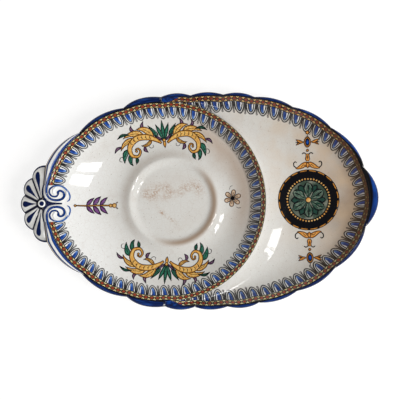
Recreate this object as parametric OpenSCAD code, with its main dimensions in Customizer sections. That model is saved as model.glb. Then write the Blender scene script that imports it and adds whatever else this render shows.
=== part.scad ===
// Cup-and-cake plate: an oval saucer with a raised ring for the cup, a larger
// crescent dish beside it, a scalloped edge and a shell handle between two scrolls.
// The plan is laid out from the cup's axis. The handle is at -X, the side dish at +X.

/* [Saucer] */
// Saucer's middle to its rim on the side dish's side
saucer_front = 74.2; // [68:0.1:80]
// Saucer's middle to its rim on the handle's side
saucer_back = 89.9; // [84:0.1:98]
// Saucer's middle to its rim at the sides
saucer_half_w = 74.6; // [70:0.1:76]
// Cup's axis ahead of the saucer's middle
cup_ahead = 4.4; // [0:0.1:8]
// Height of the rim above the table
rim_h = 21; // [18:0.5:26]
// Thickness of the clay
clay_t = 4; // [3:0.1:5]
// Rounding of the rim where it stands over the side dish
rim_round = 0.8; // [0.2:0.1:1.2]

/* [Cup ring] */
// Flat seat inside the ring
seat_r = 26.5; // [22:0.5:29]
// Crest of the ring
crest_r = 33; // [30:0.5:36]
// Trough outside the ring, where the saucer's wall starts
trough_r = 43.5; // [40:0.5:48]
// Rise of the crest over the seat
ring_h = 2.5; // [1.5:0.1:4]

/* [Side dish] */
// Cup's axis to the widest place of the side dish
dish_ahead = 35.4; // [30:0.1:40]
// Widest place of the side dish to its far end
dish_front = 112.2; // [100:0.1:125]
// Half length of the flat oval that leads the dish back along the saucer
dish_back = 256; // [230:1:280]
// How far the side dish is wider than the saucer, on each side
dish_over = 4.2; // [3:0.1:10]
// Saucer's wall to the dish's valley, where the dish is wide enough
valley_w = 22.5; // [18:0.5:28]
// Rise of the dish from its valley up to the saucer's wall
dish_inner_rise = 4.8; // [4:0.1:9]
// Least step from the saucer's rim down to the dish
rim_step = 1.5; // [0.5:0.1:2.5]
// Turn to each side over which the dish's floor stays level
floor_turn = 16; // [8:1:24]

/* [Scalloped edge] */
// Width of the lip where two lobes meet
lip_w = 0.8; // [0.5:0.1:1.5]
// How far a lobe swells past that
lobe_rise = 2.2; // [1:0.1:4]
// How far the lobe at the far end swells
far_rise = 5.7; // [3:0.1:8]
// Pinched ridge between two lobes, over the rim
pinch_h = 0.8; // [0:0.1:1.5]

/* [Shell handle] */
// Hub of the fan to the tip of its middle lobe
shell_l = 16; // [14:0.1:20]
// Radius of the fan's outline
shell_r = 33; // [30:0.5:36]
// Half of the turn that the fan spans
shell_turn = 61; // [54:1:66]
// Number of lobes
shell_lobes = 5; // [3:2:9]
// How far a lobe of the shell swells
shell_rise = 2.3; // [1:0.1:4]
// Thickness of the shell
shell_t = 3.5; // [2.5:0.1:4.5]
// Step from the rim down to the shell
shell_drop = 1; // [0.5:0.1:1.5]
// Fall of the shell from its hub to its tips
shell_fall = 1.5; // [0:0.1:2.5]
// Height of a flute's back over its valleys
flute_h = 1.4; // [0.5:0.1:2.5]
// Radius of the boss at the hub
boss_r = 3.1; // [2:0.1:3.2]
// Top of the boss above the rim
boss_h = 2.2; // [1:0.1:3]

/* [Scrolls] */
// Width of the scroll's band at the hub
band_w = 3.4; // [3.3:0.1:5]
// Swell of the band between the edge's last point and the shell
band_rise = 2; // [0.5:0.1:3]
// Middle of the curl, in from the saucer's rim
curl_in = 8.8; // [8.2:0.1:10]
// Middle of the curl, out from the plate's long axis
curl_out = 8.5; // [8.3:0.1:10]
// Radius at which the curl leaves the band
curl_r = 9.6; // [9:0.1:9.8]
// Width of the curl
curl_w = 2.3; // [1.5:0.1:2.5]
// Height of the curl over the saucer's wall
curl_h = 1; // [0.6:0.1:2]

/* [Feet] */
// Height of both feet
foot_h = 3; // [2:0.1:4]
// Middle radius of the saucer's foot
foot_r = 38; // [32:0.5:40]
// Width of a foot where it stands
foot_w = 3; // [2:0.1:4]
// Widening of the saucer's foot on each side up to the body
foot_flare = 1; // [0.5:0.1:1.5]

/* [Hidden] */
$fn = 96;

white_glaze = [0.92, 0.91, 0.88];
blue_edge = [0.07, 0.16, 0.5];
shell_blue = [0.42, 0.46, 0.58];
scroll_white = [0.86, 0.88, 0.92];
boss_blue = [0.1, 0.2, 0.55];
bare_clay = [0.8, 0.68, 0.52];

// Where two lobes of the dish's edge meet, from the dish's widest place to its far end
dish_cusp_shares = [0.96, 0.745, 0.495, 0.24, 0.033, -0.185, -0.38];
// Where two lobes of the saucer's edge meet, from the saucer's middle to its back
saucer_cusp_shares = [-0.345, -0.715];

// Where the valley lies across the narrow ends of the dish
valley_share = 0.41;
// Level part of the underside, as shares of the slopes on the valley's two sides
level_shares = [0.78, 0.16];
// Depth that the dish keeps in its two horns, and how long it stays deep before them
horn_share = 0.08;
depth_power = 2;

// Curves from a level floor up to a rim, on the upper side and on the underside
wall_power = 1.8;
under_power = 1.6;
// Outer flank of the cup's ring, steep below the crest and flat in the trough
crest_power = 1.15;
trough_power = 2.3;
// How sharp a pinched ridge is along the edge, and how soon it fades down the wall
pinch_power = 4;
pinch_fade_power = 14;

// Steps of the lofts over one lobe, of the curl, and of small round profiles
lobe_steps = 8;
curl_steps = 30;
round_steps = 8;

floor_z = foot_h + clay_t;
lip_h = clay_t + rim_step;
dish_half_w = saucer_half_w + dish_over;
saucer_end = saucer_back + cup_ahead;
hub = [-(saucer_end + band_w), 0];

// A hump over one lobe: 0 at its two ends, 1 in its middle
function hump(share) = 4 * share * (1 - share);

// A point at reach from the cup's axis, in direction turn
function at(turn, reach, z) = [reach * cos(turn), reach * sin(turn), z];

// All but the first entry
function rest(list) = [for (i = [1 : len(list) - 1]) list[i]];

// Closed skin through sections with equally many points, joined in a ring or capped
module loft(sections, ring = false) {
    count = len(sections[0]);
    last = (len(sections) - 1) * count;
    sides = [
        for (i = [0 : len(sections) - (ring ? 1 : 2)], k = [0 : count - 1])
            let (
                here = i * count,
                next = (i + 1) % len(sections) * count,
                up = (k + 1) % count
            )
            each [[here + k, next + up, here + up], [here + k, next + k, next + up]]
    ];
    caps = ring ? [] : [
        [for (k = [0 : count - 1]) k],
        [for (k = [count - 1 : -1 : 0]) last + k]
    ];
    polyhedron(points = [for (section = sections) each section], faces = [each sides, each caps]);
}

// Lines of the plan

// Reach from the cup's axis, in direction turn, of an oval on the long axis
function oval_reach(turn, middle, half_l, half_w) =
    let (
        bend = pow(cos(turn) / half_l, 2) + pow(sin(turn) / half_w, 2),
        lean = middle * cos(turn) / pow(half_l, 2)
    )
    (lean + sqrt(lean * lean - bend * (pow(middle / half_l, 2) - 1))) / bend;

// The same for an egg, which is two half ovals of one width
function egg_reach(turn, middle, front, back, half_w) =
    let (reach = oval_reach(turn, middle, front, half_w))
    reach * cos(turn) >= middle ? reach : oval_reach(turn, middle, back, half_w);

// Direction of the egg's point that lies along from its middle
function egg_turn(along, middle, front, back, half_w) =
    atan2(half_w * sqrt(1 - pow(along / (along > 0 ? front : back), 2)), middle + along);

function saucer_line(turn) =
    egg_reach(turn, -cup_ahead, saucer_front, saucer_back, saucer_half_w);
function dish_line(turn) =
    egg_reach(turn, dish_ahead, dish_front, dish_back, dish_half_w);

dish_cusps = [
    for (share = dish_cusp_shares)
        egg_turn(share * dish_front, dish_ahead, dish_front, dish_back, dish_half_w)
];
saucer_cusps = [
    for (share = saucer_cusp_shares)
        egg_turn(share * saucer_back, -cup_ahead, saucer_front, saucer_back, saucer_half_w)
];
horn_turn = dish_cusps[len(dish_cusps) - 1];
scroll_turn = saucer_cusps[len(saucer_cusps) - 1];

// The fan's outline, by its own turn from the handle's end
shell_middle = hub.x - shell_l + shell_r + shell_rise;
function shell_point(turn, swell) =
    [shell_middle - (shell_r + swell) * cos(turn), (shell_r + swell) * sin(turn)];

// The fan's first notch, where its edge leaves the scroll's band
shoulder = shell_point(shell_turn, 0);
shoulder_turn = atan2(shoulder.y, shoulder.x);

// Reach of the straight line from the shoulder to the hub
function hub_line(turn) =
    let (run = hub - shoulder)
    (shoulder.x * run.y - shoulder.y * run.x) / (cos(turn) * run.y - sin(turn) * run.x);

// Stations over the lobes between the given turns, each [turn, share of its lobe]
function stations(turns) = [
    for (i = [0 : len(turns) - 2], k = [0 : lobe_steps - 1])
        [turns[i] + (turns[i + 1] - turns[i]) * k / lobe_steps, k / lobe_steps],
    [turns[len(turns) - 1], 1]
];
dish_stations = stations([
    for (i = [len(dish_cusps) - 1 : -1 : 0]) -dish_cusps[i],
    each dish_cusps
]);
lobe_stations = stations([horn_turn, each saucer_cusps]);
band_stations = stations([scroll_turn, shoulder_turn, 180]);
back_stations = [each lobe_stations, each rest(band_stations)];

// Height of the pinched ridge at a station of the scalloped edge
function pinch(s) =
    s[0] < scroll_turn ? pinch_h * pow(abs(2 * s[1] - 1), pinch_power) : 0;

// Saucer's wall

wall_shares = [0, 0.16, 0.32, 0.48, 0.63, 0.77, 0.89, 0.97, 1];
wall_under_shares = [1, 0.75, 0.5, 0.25, 0];

// The wall's inner corners stand clear of the well's true round
widest_step = max([
    for (list = [dish_stations, back_stations], i = [1 : len(list) - 1])
        list[i][0] - list[i - 1][0]
]);
join_r = trough_r / cos(widest_step / 2);

function wall_z(share) = floor_z + (rim_h - floor_z) * pow(share, wall_power);

// One section from the trough up to the rim and back. Its outer face runs from
// fall under the rim down to the height under.
function wall_section(turn, under, ridge = 0, fall = 0) =
    let (run = saucer_line(turn) - join_r)
    [
        for (share = wall_shares)
            at(turn, join_r + run * share,
                wall_z(share) + ridge * pow(share, pinch_fade_power) - (share < 1 ? 0 : fall)),
        for (share = wall_under_shares)
            at(turn, join_r + run * share,
                foot_h + (under - foot_h) * pow(share, under_power))
    ];

module saucer_wall() {
    over_dish = [
        for (i = [1 : len(dish_stations) - 2])
            let (turn = dish_stations[i][0])
            wall_section(turn, dish_seat_z(turn) - clay_t, fall = rim_round)
    ];
    upper_half = [for (s = back_stations) wall_section(s[0], rim_h - lip_h, pinch(s))];
    lower_half = [
        for (i = [len(back_stations) - 2 : -1 : 0])
            let (s = back_stations[i])
            wall_section(-s[0], rim_h - lip_h, pinch(s))
    ];
    color(white_glaze)
        loft([each over_dish, each upper_half, each lower_half], ring = true);
}

// Side dish

// Places over the slope down to the valley, below 1, and up from it to the rim, over 1
dish_places = [0, 0.25, 0.5, 0.75, 1, 1.19, 1.39, 1.59, 1.78, 1.91, 2];
dish_under_places = [2, 1.75, 1.49, 1 + level_shares[1], level_shares[0], 0.34, 0];

// How deep the dish is in direction turn, as a share of its full depth
function depth_share(turn) =
    let (past = max(0, abs(turn) - floor_turn) / (horn_turn - floor_turn))
    horn_share + (1 - horn_share) * pow(cos(90 * pow(past, depth_power)), 2);
function valley_z(turn) = rim_h - (rim_h - floor_z) * depth_share(turn);

// Height of the dish where it meets the saucer's wall
function dish_seat_z(turn) =
    min(valley_z(turn) + dish_inner_rise * depth_share(turn), rim_h - rim_step);

// Reach of a place across the dish
function dish_reach(turn, place) =
    let (
        inner = saucer_line(turn),
        run = dish_line(turn) - inner,
        valley = min(valley_w, run * valley_share)
    )
    inner + (place < 1 ? valley * place : valley + (run - valley) * (place - 1));

function dish_z(turn, place) =
    let (valley = valley_z(turn))
    place < 1
        ? valley + (dish_seat_z(turn) - valley) * pow(1 - place, 2)
        : valley + (rim_h - valley) * pow(place - 1, wall_power);
function dish_under_z(turn, place, outer) =
    let (level = valley_z(turn) - clay_t, inner = dish_seat_z(turn) - clay_t)
    place < level_shares[0]
        ? level + (inner - level) * pow(1 - place / level_shares[0], 2)
        : place <= 1 + level_shares[1] ? level
        : level + (outer - level) *
            pow((place - 1 - level_shares[1]) / (1 - level_shares[1]), under_power);

function dish_section(s) = [
    for (place = dish_places)
        at(s[0], dish_reach(s[0], place),
            dish_z(s[0], place) + pinch(s) * pow(place / 2, pinch_fade_power)),
    for (place = dish_under_places)
        at(s[0], dish_reach(s[0], place), dish_under_z(s[0], place, rim_h - lip_h))
];

module side_dish() {
    color(white_glaze)
        loft([for (s = dish_stations) dish_section(s)]);
}

// Scalloped edge

// Round nose of the lip, as shares of its width outwards and of its height downwards
lip_shares = [
    [0, 0], [0.4, 0.04], [0.75, 0.17], [0.94, 0.33],
    [1, 0.5], [0.93, 0.68], [0.65, 0.86], [0, 1]
];

function lip_section(s, inner, outer) = [
    for (p = lip_shares)
        at(s[0], inner + (outer - inner) * p.x,
            rim_h + pinch(s) * (1 - p.y) - lip_h * p.y)
];

function dish_lobe_line(s) =
    let (rise = abs(s[0]) < dish_cusps[0] ? far_rise : lobe_rise)
    dish_line(s[0]) + lip_w + rise * hump(s[1]);

module dish_edge() {
    color(blue_edge)
        loft([for (s = dish_stations) lip_section(s, dish_line(s[0]), dish_lobe_line(s))]);
}

// The saucer's first lobe leads in from the dish's edge
function saucer_lobe_line(s) =
    let (
        lead = max(0, (saucer_cusps[0] - s[0]) / (saucer_cusps[0] - horn_turn)),
        line = saucer_line(s[0])
    )
    line + (dish_line(s[0]) - line) * lead + lip_w + lobe_rise * hump(s[1]);

module saucer_lobes() {
    color(blue_edge)
        loft([
            for (s = lobe_stations) lip_section(s, saucer_line(s[0]), saucer_lobe_line(s))
        ]);
}

module upper_lobes() saucer_lobes();
module lower_lobes() mirror([0, 1, 0]) saucer_lobes();

// Scrolls

// Section of the band, as shares: of its width outwards, of the lip's height
// downwards, and of its width for the crown above the rim
band_shares = [
    [0, 1, 0], [0, 0, 0], [0.25, 0, 0.18], [0.55, 0, 0.25],
    [0.8, 0, 0.17], [1, 0.12, 0], [1, 0.8, 0], [0.85, 1, 0]
];

function band_line(s) =
    let (start = saucer_line(scroll_turn) + lip_w)
    s[0] < shoulder_turn
        ? start + (norm(shoulder) - start) * s[1] + band_rise * hump(s[1])
        : hub_line(s[0]);
function band_section(s) =
    let (inner = saucer_line(s[0]), run = band_line(s) - inner)
    [
        for (p = band_shares)
            at(s[0], inner + run * p[0], rim_h - lip_h * p[1] + run * p[2])
    ];

curl_middle = [curl_in - saucer_end, curl_out];
// Where the curl leaves the band, seen from its middle, and how far it winds
curl_start = 150;
curl_turns = 1.25;
// What a quarter turn leaves of the curl's radius, and its stretch along the plate
curl_shrink_share = 0.78;
curl_stretch = 1.13;
// How much of the curl's width is left at its end
curl_end_share = 0.6;
// Section of the curl, as shares of its half width across and of its height up
curl_shares = [[-1, 0], [-0.7, 0.7], [0, 1], [0.7, 0.7], [1, 0]];

// Height of the saucer's inner face, and past its rim of the curl's root in the band
function root_z(spot) =
    let (
        line = saucer_line(atan2(spot.y, spot.x)),
        share = (norm(spot) - join_r) / (line - join_r)
    )
    share < 1 ? wall_z(share) : rim_h - curl_h / 2;

function curl_section(way) =
    let (
        turn = curl_start + 360 * curl_turns * way,
        reach = curl_r * pow(curl_shrink_share, 4 * curl_turns * way),
        half = curl_w / 2 * (1 - (1 - curl_end_share) * way)
    )
    [
        for (p = curl_shares)
            let (
                off = reach + half * p.x,
                spot = curl_middle + [off * curl_stretch * cos(turn), off * sin(turn)]
            )
            [spot.x, spot.y, root_z(spot) + curl_h * p.y]
    ];

module scroll() {
    color(scroll_white)
        difference() {
            union() {
                loft([for (s = band_stations) band_section(s)]);
                loft([for (k = [0 : curl_steps]) curl_section(k / curl_steps)]);
            }
            translate(hub) cylinder(h = rim_h + boss_h, r = boss_r);
        }
}

module upper_scroll() scroll();
module lower_scroll() mirror([0, 1, 0]) scroll();

// Shell handle

shell_shares = [0, 0.15, 0.35, 0.55, 0.75, 0.9, 1];
shell_under_shares = [0.97, 0.8, 0.45, 0];
// What is left of the shell's thickness at its tips, and how it thins towards them
tip_share = 0.45;
tip_power = 3;
tip_round_power = 8;

lobe_turn = 2 * shell_turn / shell_lobes;
function shell_z(share) = rim_h - shell_drop - shell_fall * share * share;

// One section from the boss out to the fan's outline and back
function shell_section(s) =
    let (
        tip = shell_point(s[0], shell_rise * hump(s[1])),
        way = (tip - hub) / norm(tip - hub),
        start = boss_r / cos(lobe_turn / lobe_steps),
        run = norm(tip - hub) - start,
        back = flute_h * sqrt(hump(s[1]))
    )
    [
        for (share = shell_shares)
            let (spot = hub + way * (start + run * share))
            [
                spot.x, spot.y,
                shell_z(share) + back * sin(90 * share)
                    - shell_t * tip_share * pow(share, tip_round_power) / 2
            ],
        for (share = shell_under_shares)
            let (spot = hub + way * (start + run * share))
            [
                spot.x, spot.y,
                shell_z(share) - shell_t * (1 - (1 - tip_share) * pow(share, tip_power))
            ]
    ];

module shell_handle() {
    color(shell_blue)
        loft([
            for (s = stations([for (i = [0 : shell_lobes]) shell_turn - lobe_turn * i]))
                shell_section(s)
        ]);
}

module shell_boss() {
    dome_h = boss_h / 2;
    color(boss_blue)
        translate(hub)
            rotate_extrude()
                polygon([
                    [0, rim_h - shell_drop - shell_t],
                    [boss_r, rim_h - shell_drop - shell_t],
                    for (k = [0 : round_steps])
                        let (turn = 90 * k / round_steps)
                        [boss_r * cos(turn), rim_h + boss_h - dome_h * (1 - sin(turn))]
                ]);
}

// Cup well and feet

// The ring's flanks: from the trough in to the crest, and from the seat out to it
function outer_flank(share) =
    [
        trough_r + (crest_r - trough_r) * share,
        floor_z + ring_h * pow(1 - pow(1 - share, crest_power), trough_power)
    ];
function inner_flank(share) =
    [seat_r + (crest_r - seat_r) * share, floor_z + ring_h * (1 - cos(180 * share)) / 2];

module cup_well() {
    color(white_glaze)
        rotate_extrude()
            polygon([
                [0, foot_h],
                [trough_r, foot_h],
                for (k = [0 : round_steps]) outer_flank(k / round_steps),
                for (k = [round_steps - 1 : -1 : 0]) inner_flank(k / round_steps),
                [0, floor_z]
            ]);
}

module saucer_foot() {
    color(bare_clay)
        rotate_extrude()
            polygon([
                [foot_r - foot_w / 2, 0],
                [foot_r + foot_w / 2, 0],
                [foot_r + foot_w / 2 + foot_flare, foot_h],
                [foot_r - foot_w / 2 - foot_flare, foot_h]
            ]);
}

// A rail with round ends, along the middle of the dish's level underside
rail_share = 0.85;
rail_turn = floor_turn * rail_share;
function rail_point(turn, off) =
    let (
        inner_end = dish_reach(turn, level_shares[0]),
        outer_end = dish_reach(turn, 1 + level_shares[1]),
        reach = (inner_end + outer_end) / 2 + off
    )
    [reach * cos(turn), reach * sin(turn)];

module dish_foot() {
    turns = [for (k = [-round_steps : round_steps]) rail_turn * k / round_steps];
    color(bare_clay)
        linear_extrude(foot_h) {
            polygon([
                for (turn = turns) rail_point(turn, foot_w / 2),
                for (turn = turns) rail_point(-turn, -foot_w / 2)
            ]);
            for (turn = [-rail_turn, rail_turn])
                translate(rail_point(turn, 0)) circle(r = foot_w / 2);
        }
}

// The plate is centred on the middle of its length
far_end = dish_line(0) + lip_w + far_rise;
handle_end = shell_point(0, shell_rise).x;
module centred() translate([-(far_end + handle_end) / 2, 0, 0]) children();

centred() cup_well();
centred() saucer_wall();
centred() side_dish();
centred() dish_edge();
centred() upper_lobes();
centred() lower_lobes();
centred() upper_scroll();
centred() lower_scroll();
centred() shell_handle();
centred() shell_boss();
centred() saucer_foot();
centred() dish_foot();
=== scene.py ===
"""Painted earthenware cup-and-cake plate, dressed around its CAD frame."""

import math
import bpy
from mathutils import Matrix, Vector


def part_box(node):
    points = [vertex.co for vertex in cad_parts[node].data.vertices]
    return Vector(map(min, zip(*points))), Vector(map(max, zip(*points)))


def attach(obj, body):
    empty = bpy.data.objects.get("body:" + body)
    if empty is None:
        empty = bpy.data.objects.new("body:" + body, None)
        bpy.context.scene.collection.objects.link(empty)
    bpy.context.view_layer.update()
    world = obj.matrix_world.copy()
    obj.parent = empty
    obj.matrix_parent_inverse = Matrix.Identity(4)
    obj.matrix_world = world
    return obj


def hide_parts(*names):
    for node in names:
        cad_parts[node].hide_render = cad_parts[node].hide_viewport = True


bl_info = {
    "name": "Painted Cup-and-Cake Plate",
    "version": (1, 0, 0),
    "blender": (4, 5, 0),
    "location": "View3D > Sidebar > Plate",
    "description": "Glazes and paints an oval plate with a saucer, a side dish and a shell handle",
    "category": "Add Mesh",
}

import bmesh
import bpy
from bpy.props import FloatProperty, FloatVectorProperty, PointerProperty
from mathutils import Vector

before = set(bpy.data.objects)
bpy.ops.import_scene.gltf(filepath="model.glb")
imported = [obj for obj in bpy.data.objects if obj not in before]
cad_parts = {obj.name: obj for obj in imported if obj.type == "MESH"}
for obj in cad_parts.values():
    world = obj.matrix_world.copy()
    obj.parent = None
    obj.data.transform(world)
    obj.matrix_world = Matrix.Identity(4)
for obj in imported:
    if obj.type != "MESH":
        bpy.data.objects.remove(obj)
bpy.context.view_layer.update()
WELL_LOW, WELL_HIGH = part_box("cup_well")
WALL_LOW, WALL_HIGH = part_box("saucer_wall")
DISH_LOW, DISH_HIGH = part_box("side_dish")
SHELL_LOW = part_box("shell_handle")[0]
BOSS_LOW, BOSS_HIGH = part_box("shell_boss")
RING_LOW, RING_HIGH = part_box("saucer_foot")

MM = 0.001
CUP_X = (WELL_LOW[0] + WELL_HIGH[0]) / 2
HUB_X = (BOSS_LOW[0] + BOSS_HIGH[0]) / 2 - CUP_X
CUP_AHEAD = 4.4 * MM
HANDLE_X = -60 * MM
LOBE_STEPS = 16
WELD = 0.004 * MM

# Body of a painted motif, as a multiple of its height over the glaze
ENAMEL_BODY = 1.6

# Where two lobes meet, as shares of the dish's front and of the saucer's back
DISH_CUSPS = (0.96, 0.745, 0.495, 0.24, 0.033, -0.185, -0.38)
SAUCER_CUSPS = (-0.345, -0.715)


# Properties


def length(name, text, millimetres):
    return FloatProperty(
        name=name, description=text, default=millimetres * MM,
        subtype="DISTANCE", unit="LENGTH", precision=4,
    )


def colour(name, text, value):
    return FloatVectorProperty(
        name=name, description=text, default=value, size=3,
        subtype="COLOR", min=0.0, max=1.0,
    )


class PlateShape(bpy.types.PropertyGroup):
    """Sizes of the plate's body"""

    rim_round: length("Rim rounding", "Width over which a wall turns level at its rim", 2.0)
    crest_round: length("Crest rounding", "Outer rounding of the wall over the side dish", 0.9)
    seat_fillet: length("Seat fillet", "Glaze in the corner of wall and side dish", 2.2)
    seat_r: length("Seat radius", "Flat seat inside the cup's ring", 26.5)
    crest_r: length("Crest radius", "Crest of the cup's ring", 33.0)
    lobe_rise: length("Lobe rise", "How far a lobe of the edge swells", 2.2)
    far_rise: length("Far lobe rise", "How far the lobe at the far end swells", 5.7)
    pinch_h: length("Pinch height", "Ridge pinched up between two lobes", 0.8)
    shell_rise: length("Shell lobe rise", "How far a lobe of the shell swells", 2.3)
    flute_h: length("Flute height", "Back of a flute over its valleys", 1.4)
    enamel_h: length("Enamel height", "Height of the painted motifs over the glaze", 0.06)


class PlateGlaze(bpy.types.PropertyGroup):
    """Colours of the glaze and the painting"""

    white: colour("White", "Tin-white glaze, on the handle's side", (0.90, 0.915, 0.91))
    # Aged white is partly painted shade: the glaze is drawn greyer away from the handle's lit side
    aged_and_shaded: colour("Aged white", "The same glaze in the well and the side dish", (0.70, 0.70, 0.675))
    # The stain colour also serves as painted shade on the far end, on the ring's flanks and by the
    # shell's valleys
    stain_and_shade: colour("Stain", "Tea stain under the crazed glaze", (0.36, 0.235, 0.145))
    cobalt: colour("Cobalt", "Blue of the scalloped edge", (0.006, 0.014, 0.07))
    blue: colour("Bright blue", "Blue of brush strokes and tongues", (0.014, 0.10, 0.50))
    ink: colour("Ink", "Blue-black of the outlines", (0.006, 0.006, 0.008))
    cream: colour("Cream", "Lights of the bead band", (0.78, 0.67, 0.34))
    rust: colour("Rust", "Beads", (0.30, 0.045, 0.016))
    ochre: colour("Ochre", "Leaves and pendants", (0.56, 0.235, 0.04))
    straw: colour("Straw", "Lights on the ochre", (0.74, 0.52, 0.22))
    green: colour("Green", "Leaves and the medallion's rosette", (0.012, 0.062, 0.04))
    purple: colour("Purple", "Buds and ribbons", (0.06, 0.022, 0.075))
    clay: colour("Bare clay", "Unglazed clay of the feet", (0.52, 0.36, 0.22))


class PlateStage(bpy.types.PropertyGroup):
    """Camera and lamps"""

    view_height: FloatProperty(
        name="View height", description="Camera's height angle over the table",
        default=math.radians(87.4), subtype="ANGLE", unit="ROTATION",
    )
    view_roll: FloatProperty(
        name="View roll", description="Turn of the plate in the picture",
        default=math.radians(1.15), subtype="ANGLE", unit="ROTATION",
    )
    view_distance: FloatProperty(
        name="View distance", description="Camera to plate", default=1.3,
        subtype="DISTANCE", unit="LENGTH",
    )
    view_width: length("View width", "Width of the picture at the rim's height", 298.8)
    key_power: FloatProperty(
        name="Key power", description="Power of the soft key lamp, in watts", default=21.0,
    )
    pane_power: FloatProperty(
        name="Pane power", description="Power of each window pane, in watts", default=2.0,
    )
    fill_strength: FloatProperty(
        name="Fill strength", description="Strength of the room's own light", default=1.0,
    )


# Lines of the plan, in metres and radians from the cup's axis


def oval_reach(turn, middle, half_l, half_w):
    bend = (math.cos(turn) / half_l) ** 2 + (math.sin(turn) / half_w) ** 2
    lean = middle * math.cos(turn) / half_l**2
    return (lean + math.sqrt(lean * lean - bend * ((middle / half_l) ** 2 - 1))) / bend


def egg_reach(turn, middle, front, back, half_w):
    reach = oval_reach(turn, middle, front, half_w)
    if reach * math.cos(turn) >= middle:
        return reach
    return oval_reach(turn, middle, back, half_w)


def egg_turn(along, middle, front, back, half_w):
    half_l = front if along > 0 else back
    return math.atan2(half_w * math.sqrt(1 - (along / half_l) ** 2), middle + along)


def hump(share):
    return 4 * share * (1 - share)


def ease(value):
    value = min(1.0, max(0.0, value))
    return value * value * (3 - 2 * value)


class Plan:
    """The plate's lines and heights, taken from the frame where it shows them."""

    clay_t = 4.0 * MM
    rim_step = 1.5 * MM
    lip_w = 0.8 * MM
    valley_w = 22.5 * MM
    inner_rise = 4.8 * MM
    floor_turn = math.radians(16)
    valley_share = 0.41
    level_shares = (0.78, 0.16)
    horn_share = 0.08
    depth_power = 2
    wall_power = 1.8
    under_power = 1.6
    pinch_power = 14
    ring_swing = 0.5
    ring_powers = (1.15, 2.3)
    crest_blend = math.radians(12)
    band_crown = 0.25
    band_fall = 0.7 * MM
    border_sway = 0.9 * MM
    border_blend = math.radians(5)
    rim_rise = 18 * MM
    dish_ahead = 35.4 * MM
    dish_back = 256 * MM
    shell_r = 33 * MM
    shell_turn = math.radians(61)
    curl_middle = (12.2 * MM, 8.5 * MM)
    curl_r = 9.6 * MM
    curl_h = 0.95 * MM
    curl_oval = 1.13
    curl_shrink = 0.78
    curl_half = 1.3 * MM
    curl_start = math.radians(150)
    curl_turns = 1.25

    def __init__(self, shape):
        self.shape = shape
        self.trough_r = (WELL_HIGH[0] - WELL_LOW[0]) / 2
        self.foot_h = WELL_LOW[2]
        self.rim_h = DISH_LOW[2] + self.rim_rise
        self.floor_z = self.foot_h + self.clay_t
        self.ring_h = WELL_HIGH[2] - self.floor_z
        self.lip_h = self.clay_t + self.rim_step
        front = WALL_HIGH[0] - CUP_X + CUP_AHEAD
        back = CUP_X - WALL_LOW[0] - CUP_AHEAD
        self.saucer = (-CUP_AHEAD, front, back, WALL_HIGH[1])
        front = DISH_HIGH[0] - CUP_X - self.dish_ahead
        self.dish = (self.dish_ahead, front, self.dish_back, DISH_HIGH[1])
        self.dish_cusps = [egg_turn(s * self.dish[1], *self.dish) for s in DISH_CUSPS]
        self.saucer_cusps = [egg_turn(s * back, *self.saucer) for s in SAUCER_CUSPS]
        self.horn = self.dish_cusps[-1]
        self.scroll = self.saucer_cusps[-1]
        self.hub = Vector((HUB_X, 0))
        self.shell_middle = SHELL_LOW[0] - CUP_X + self.shell_r + shape.shell_rise
        self.shoulder = self.shell_point(self.shell_turn, 0)
        self.shoulder_turn = math.atan2(self.shoulder.y, self.shoulder.x)

    def saucer_line(self, turn):
        return egg_reach(turn, *self.saucer)

    def dish_line(self, turn):
        return egg_reach(turn, *self.dish)

    def shell_point(self, turn, swell):
        reach = self.shell_r + swell
        return Vector((self.shell_middle - reach * math.cos(turn), reach * math.sin(turn)))

    def hub_line(self, turn):
        run = self.hub - self.shoulder
        across = self.shoulder.x * run.y - self.shoulder.y * run.x
        return across / (math.cos(turn) * run.y - math.sin(turn) * run.x)

    def lobes(self, turns, steps=LOBE_STEPS):
        """Stations over the lobes between the given turns, each (turn, share of its lobe)."""
        found = []
        for first, last in zip(turns, turns[1:]):
            found += [(first + (last - first) * k / steps, k / steps) for k in range(steps)]
        return found + [(turns[-1], 1.0)]

    def dish_stations(self):
        return self.lobes([-t for t in reversed(self.dish_cusps)] + self.dish_cusps)

    def lobe_stations(self):
        return self.lobes([self.horn] + self.saucer_cusps)

    def band_stations(self):
        return self.lobes([self.scroll, self.shoulder_turn, math.pi])

    def pinch(self, station):
        if station[0] >= self.scroll:
            return 0.0
        return self.shape.pinch_h * abs(2 * station[1] - 1) ** 4

    def sway(self, station, dish):
        """How far the painted border draws in towards the meeting of two lobes."""
        turn, share = abs(station[0]), station[1]
        if dish or self.horn <= turn <= self.scroll:
            return self.border_sway * (hump(share) - 1)
        gap = min(abs(turn - self.horn), abs(turn - self.scroll))
        return -self.border_sway * (1 - ease(gap / self.border_blend))

    def curl_at(self, way, off=0.0):
        """Point of the upper curl, a share of the way in, and half the curl's width there."""
        angle = self.curl_start + 2 * self.curl_turns * math.pi * way
        reach = self.curl_r * self.curl_shrink ** (4 * self.curl_turns * way) + off
        spot = Vector((self.curl_oval * reach * math.cos(angle), reach * math.sin(angle)))
        return self.hub + Vector(self.curl_middle) + spot, self.curl_half * (1 - 0.4 * way)

    def curl_rise(self, share, way):
        """Height of a curl's ridge at a share of its half width."""
        rise = self.curl_h * max(0.0, 1 - share * share)
        return rise * ease(min(way * 5, (1 - way) * 8 + 0.3))

    # Heights

    def rounded(self, inward, run, rise, power):
        """Height over the low end of a wall that turns level over its rim's rounding."""
        width = min(self.shape.rim_round, 0.6 * run)
        share = 1 - inward / run
        if inward >= width:
            return rise * max(0.0, share) ** power
        start = 1 - width / run
        slope = rise * power * start ** (power - 1) / run
        return rise * start**power + slope * width / 2 * (1 - (inward / width) ** 2)

    def crest(self, turn, inward):
        """Fall of the wall's crest towards the side dish."""
        width = self.shape.crest_round * ease((self.horn - abs(turn)) / self.crest_blend)
        if inward >= width or width <= 0:
            return 0.0
        return width - math.sqrt(max(0.0, width**2 - (width - inward) ** 2))

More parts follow.
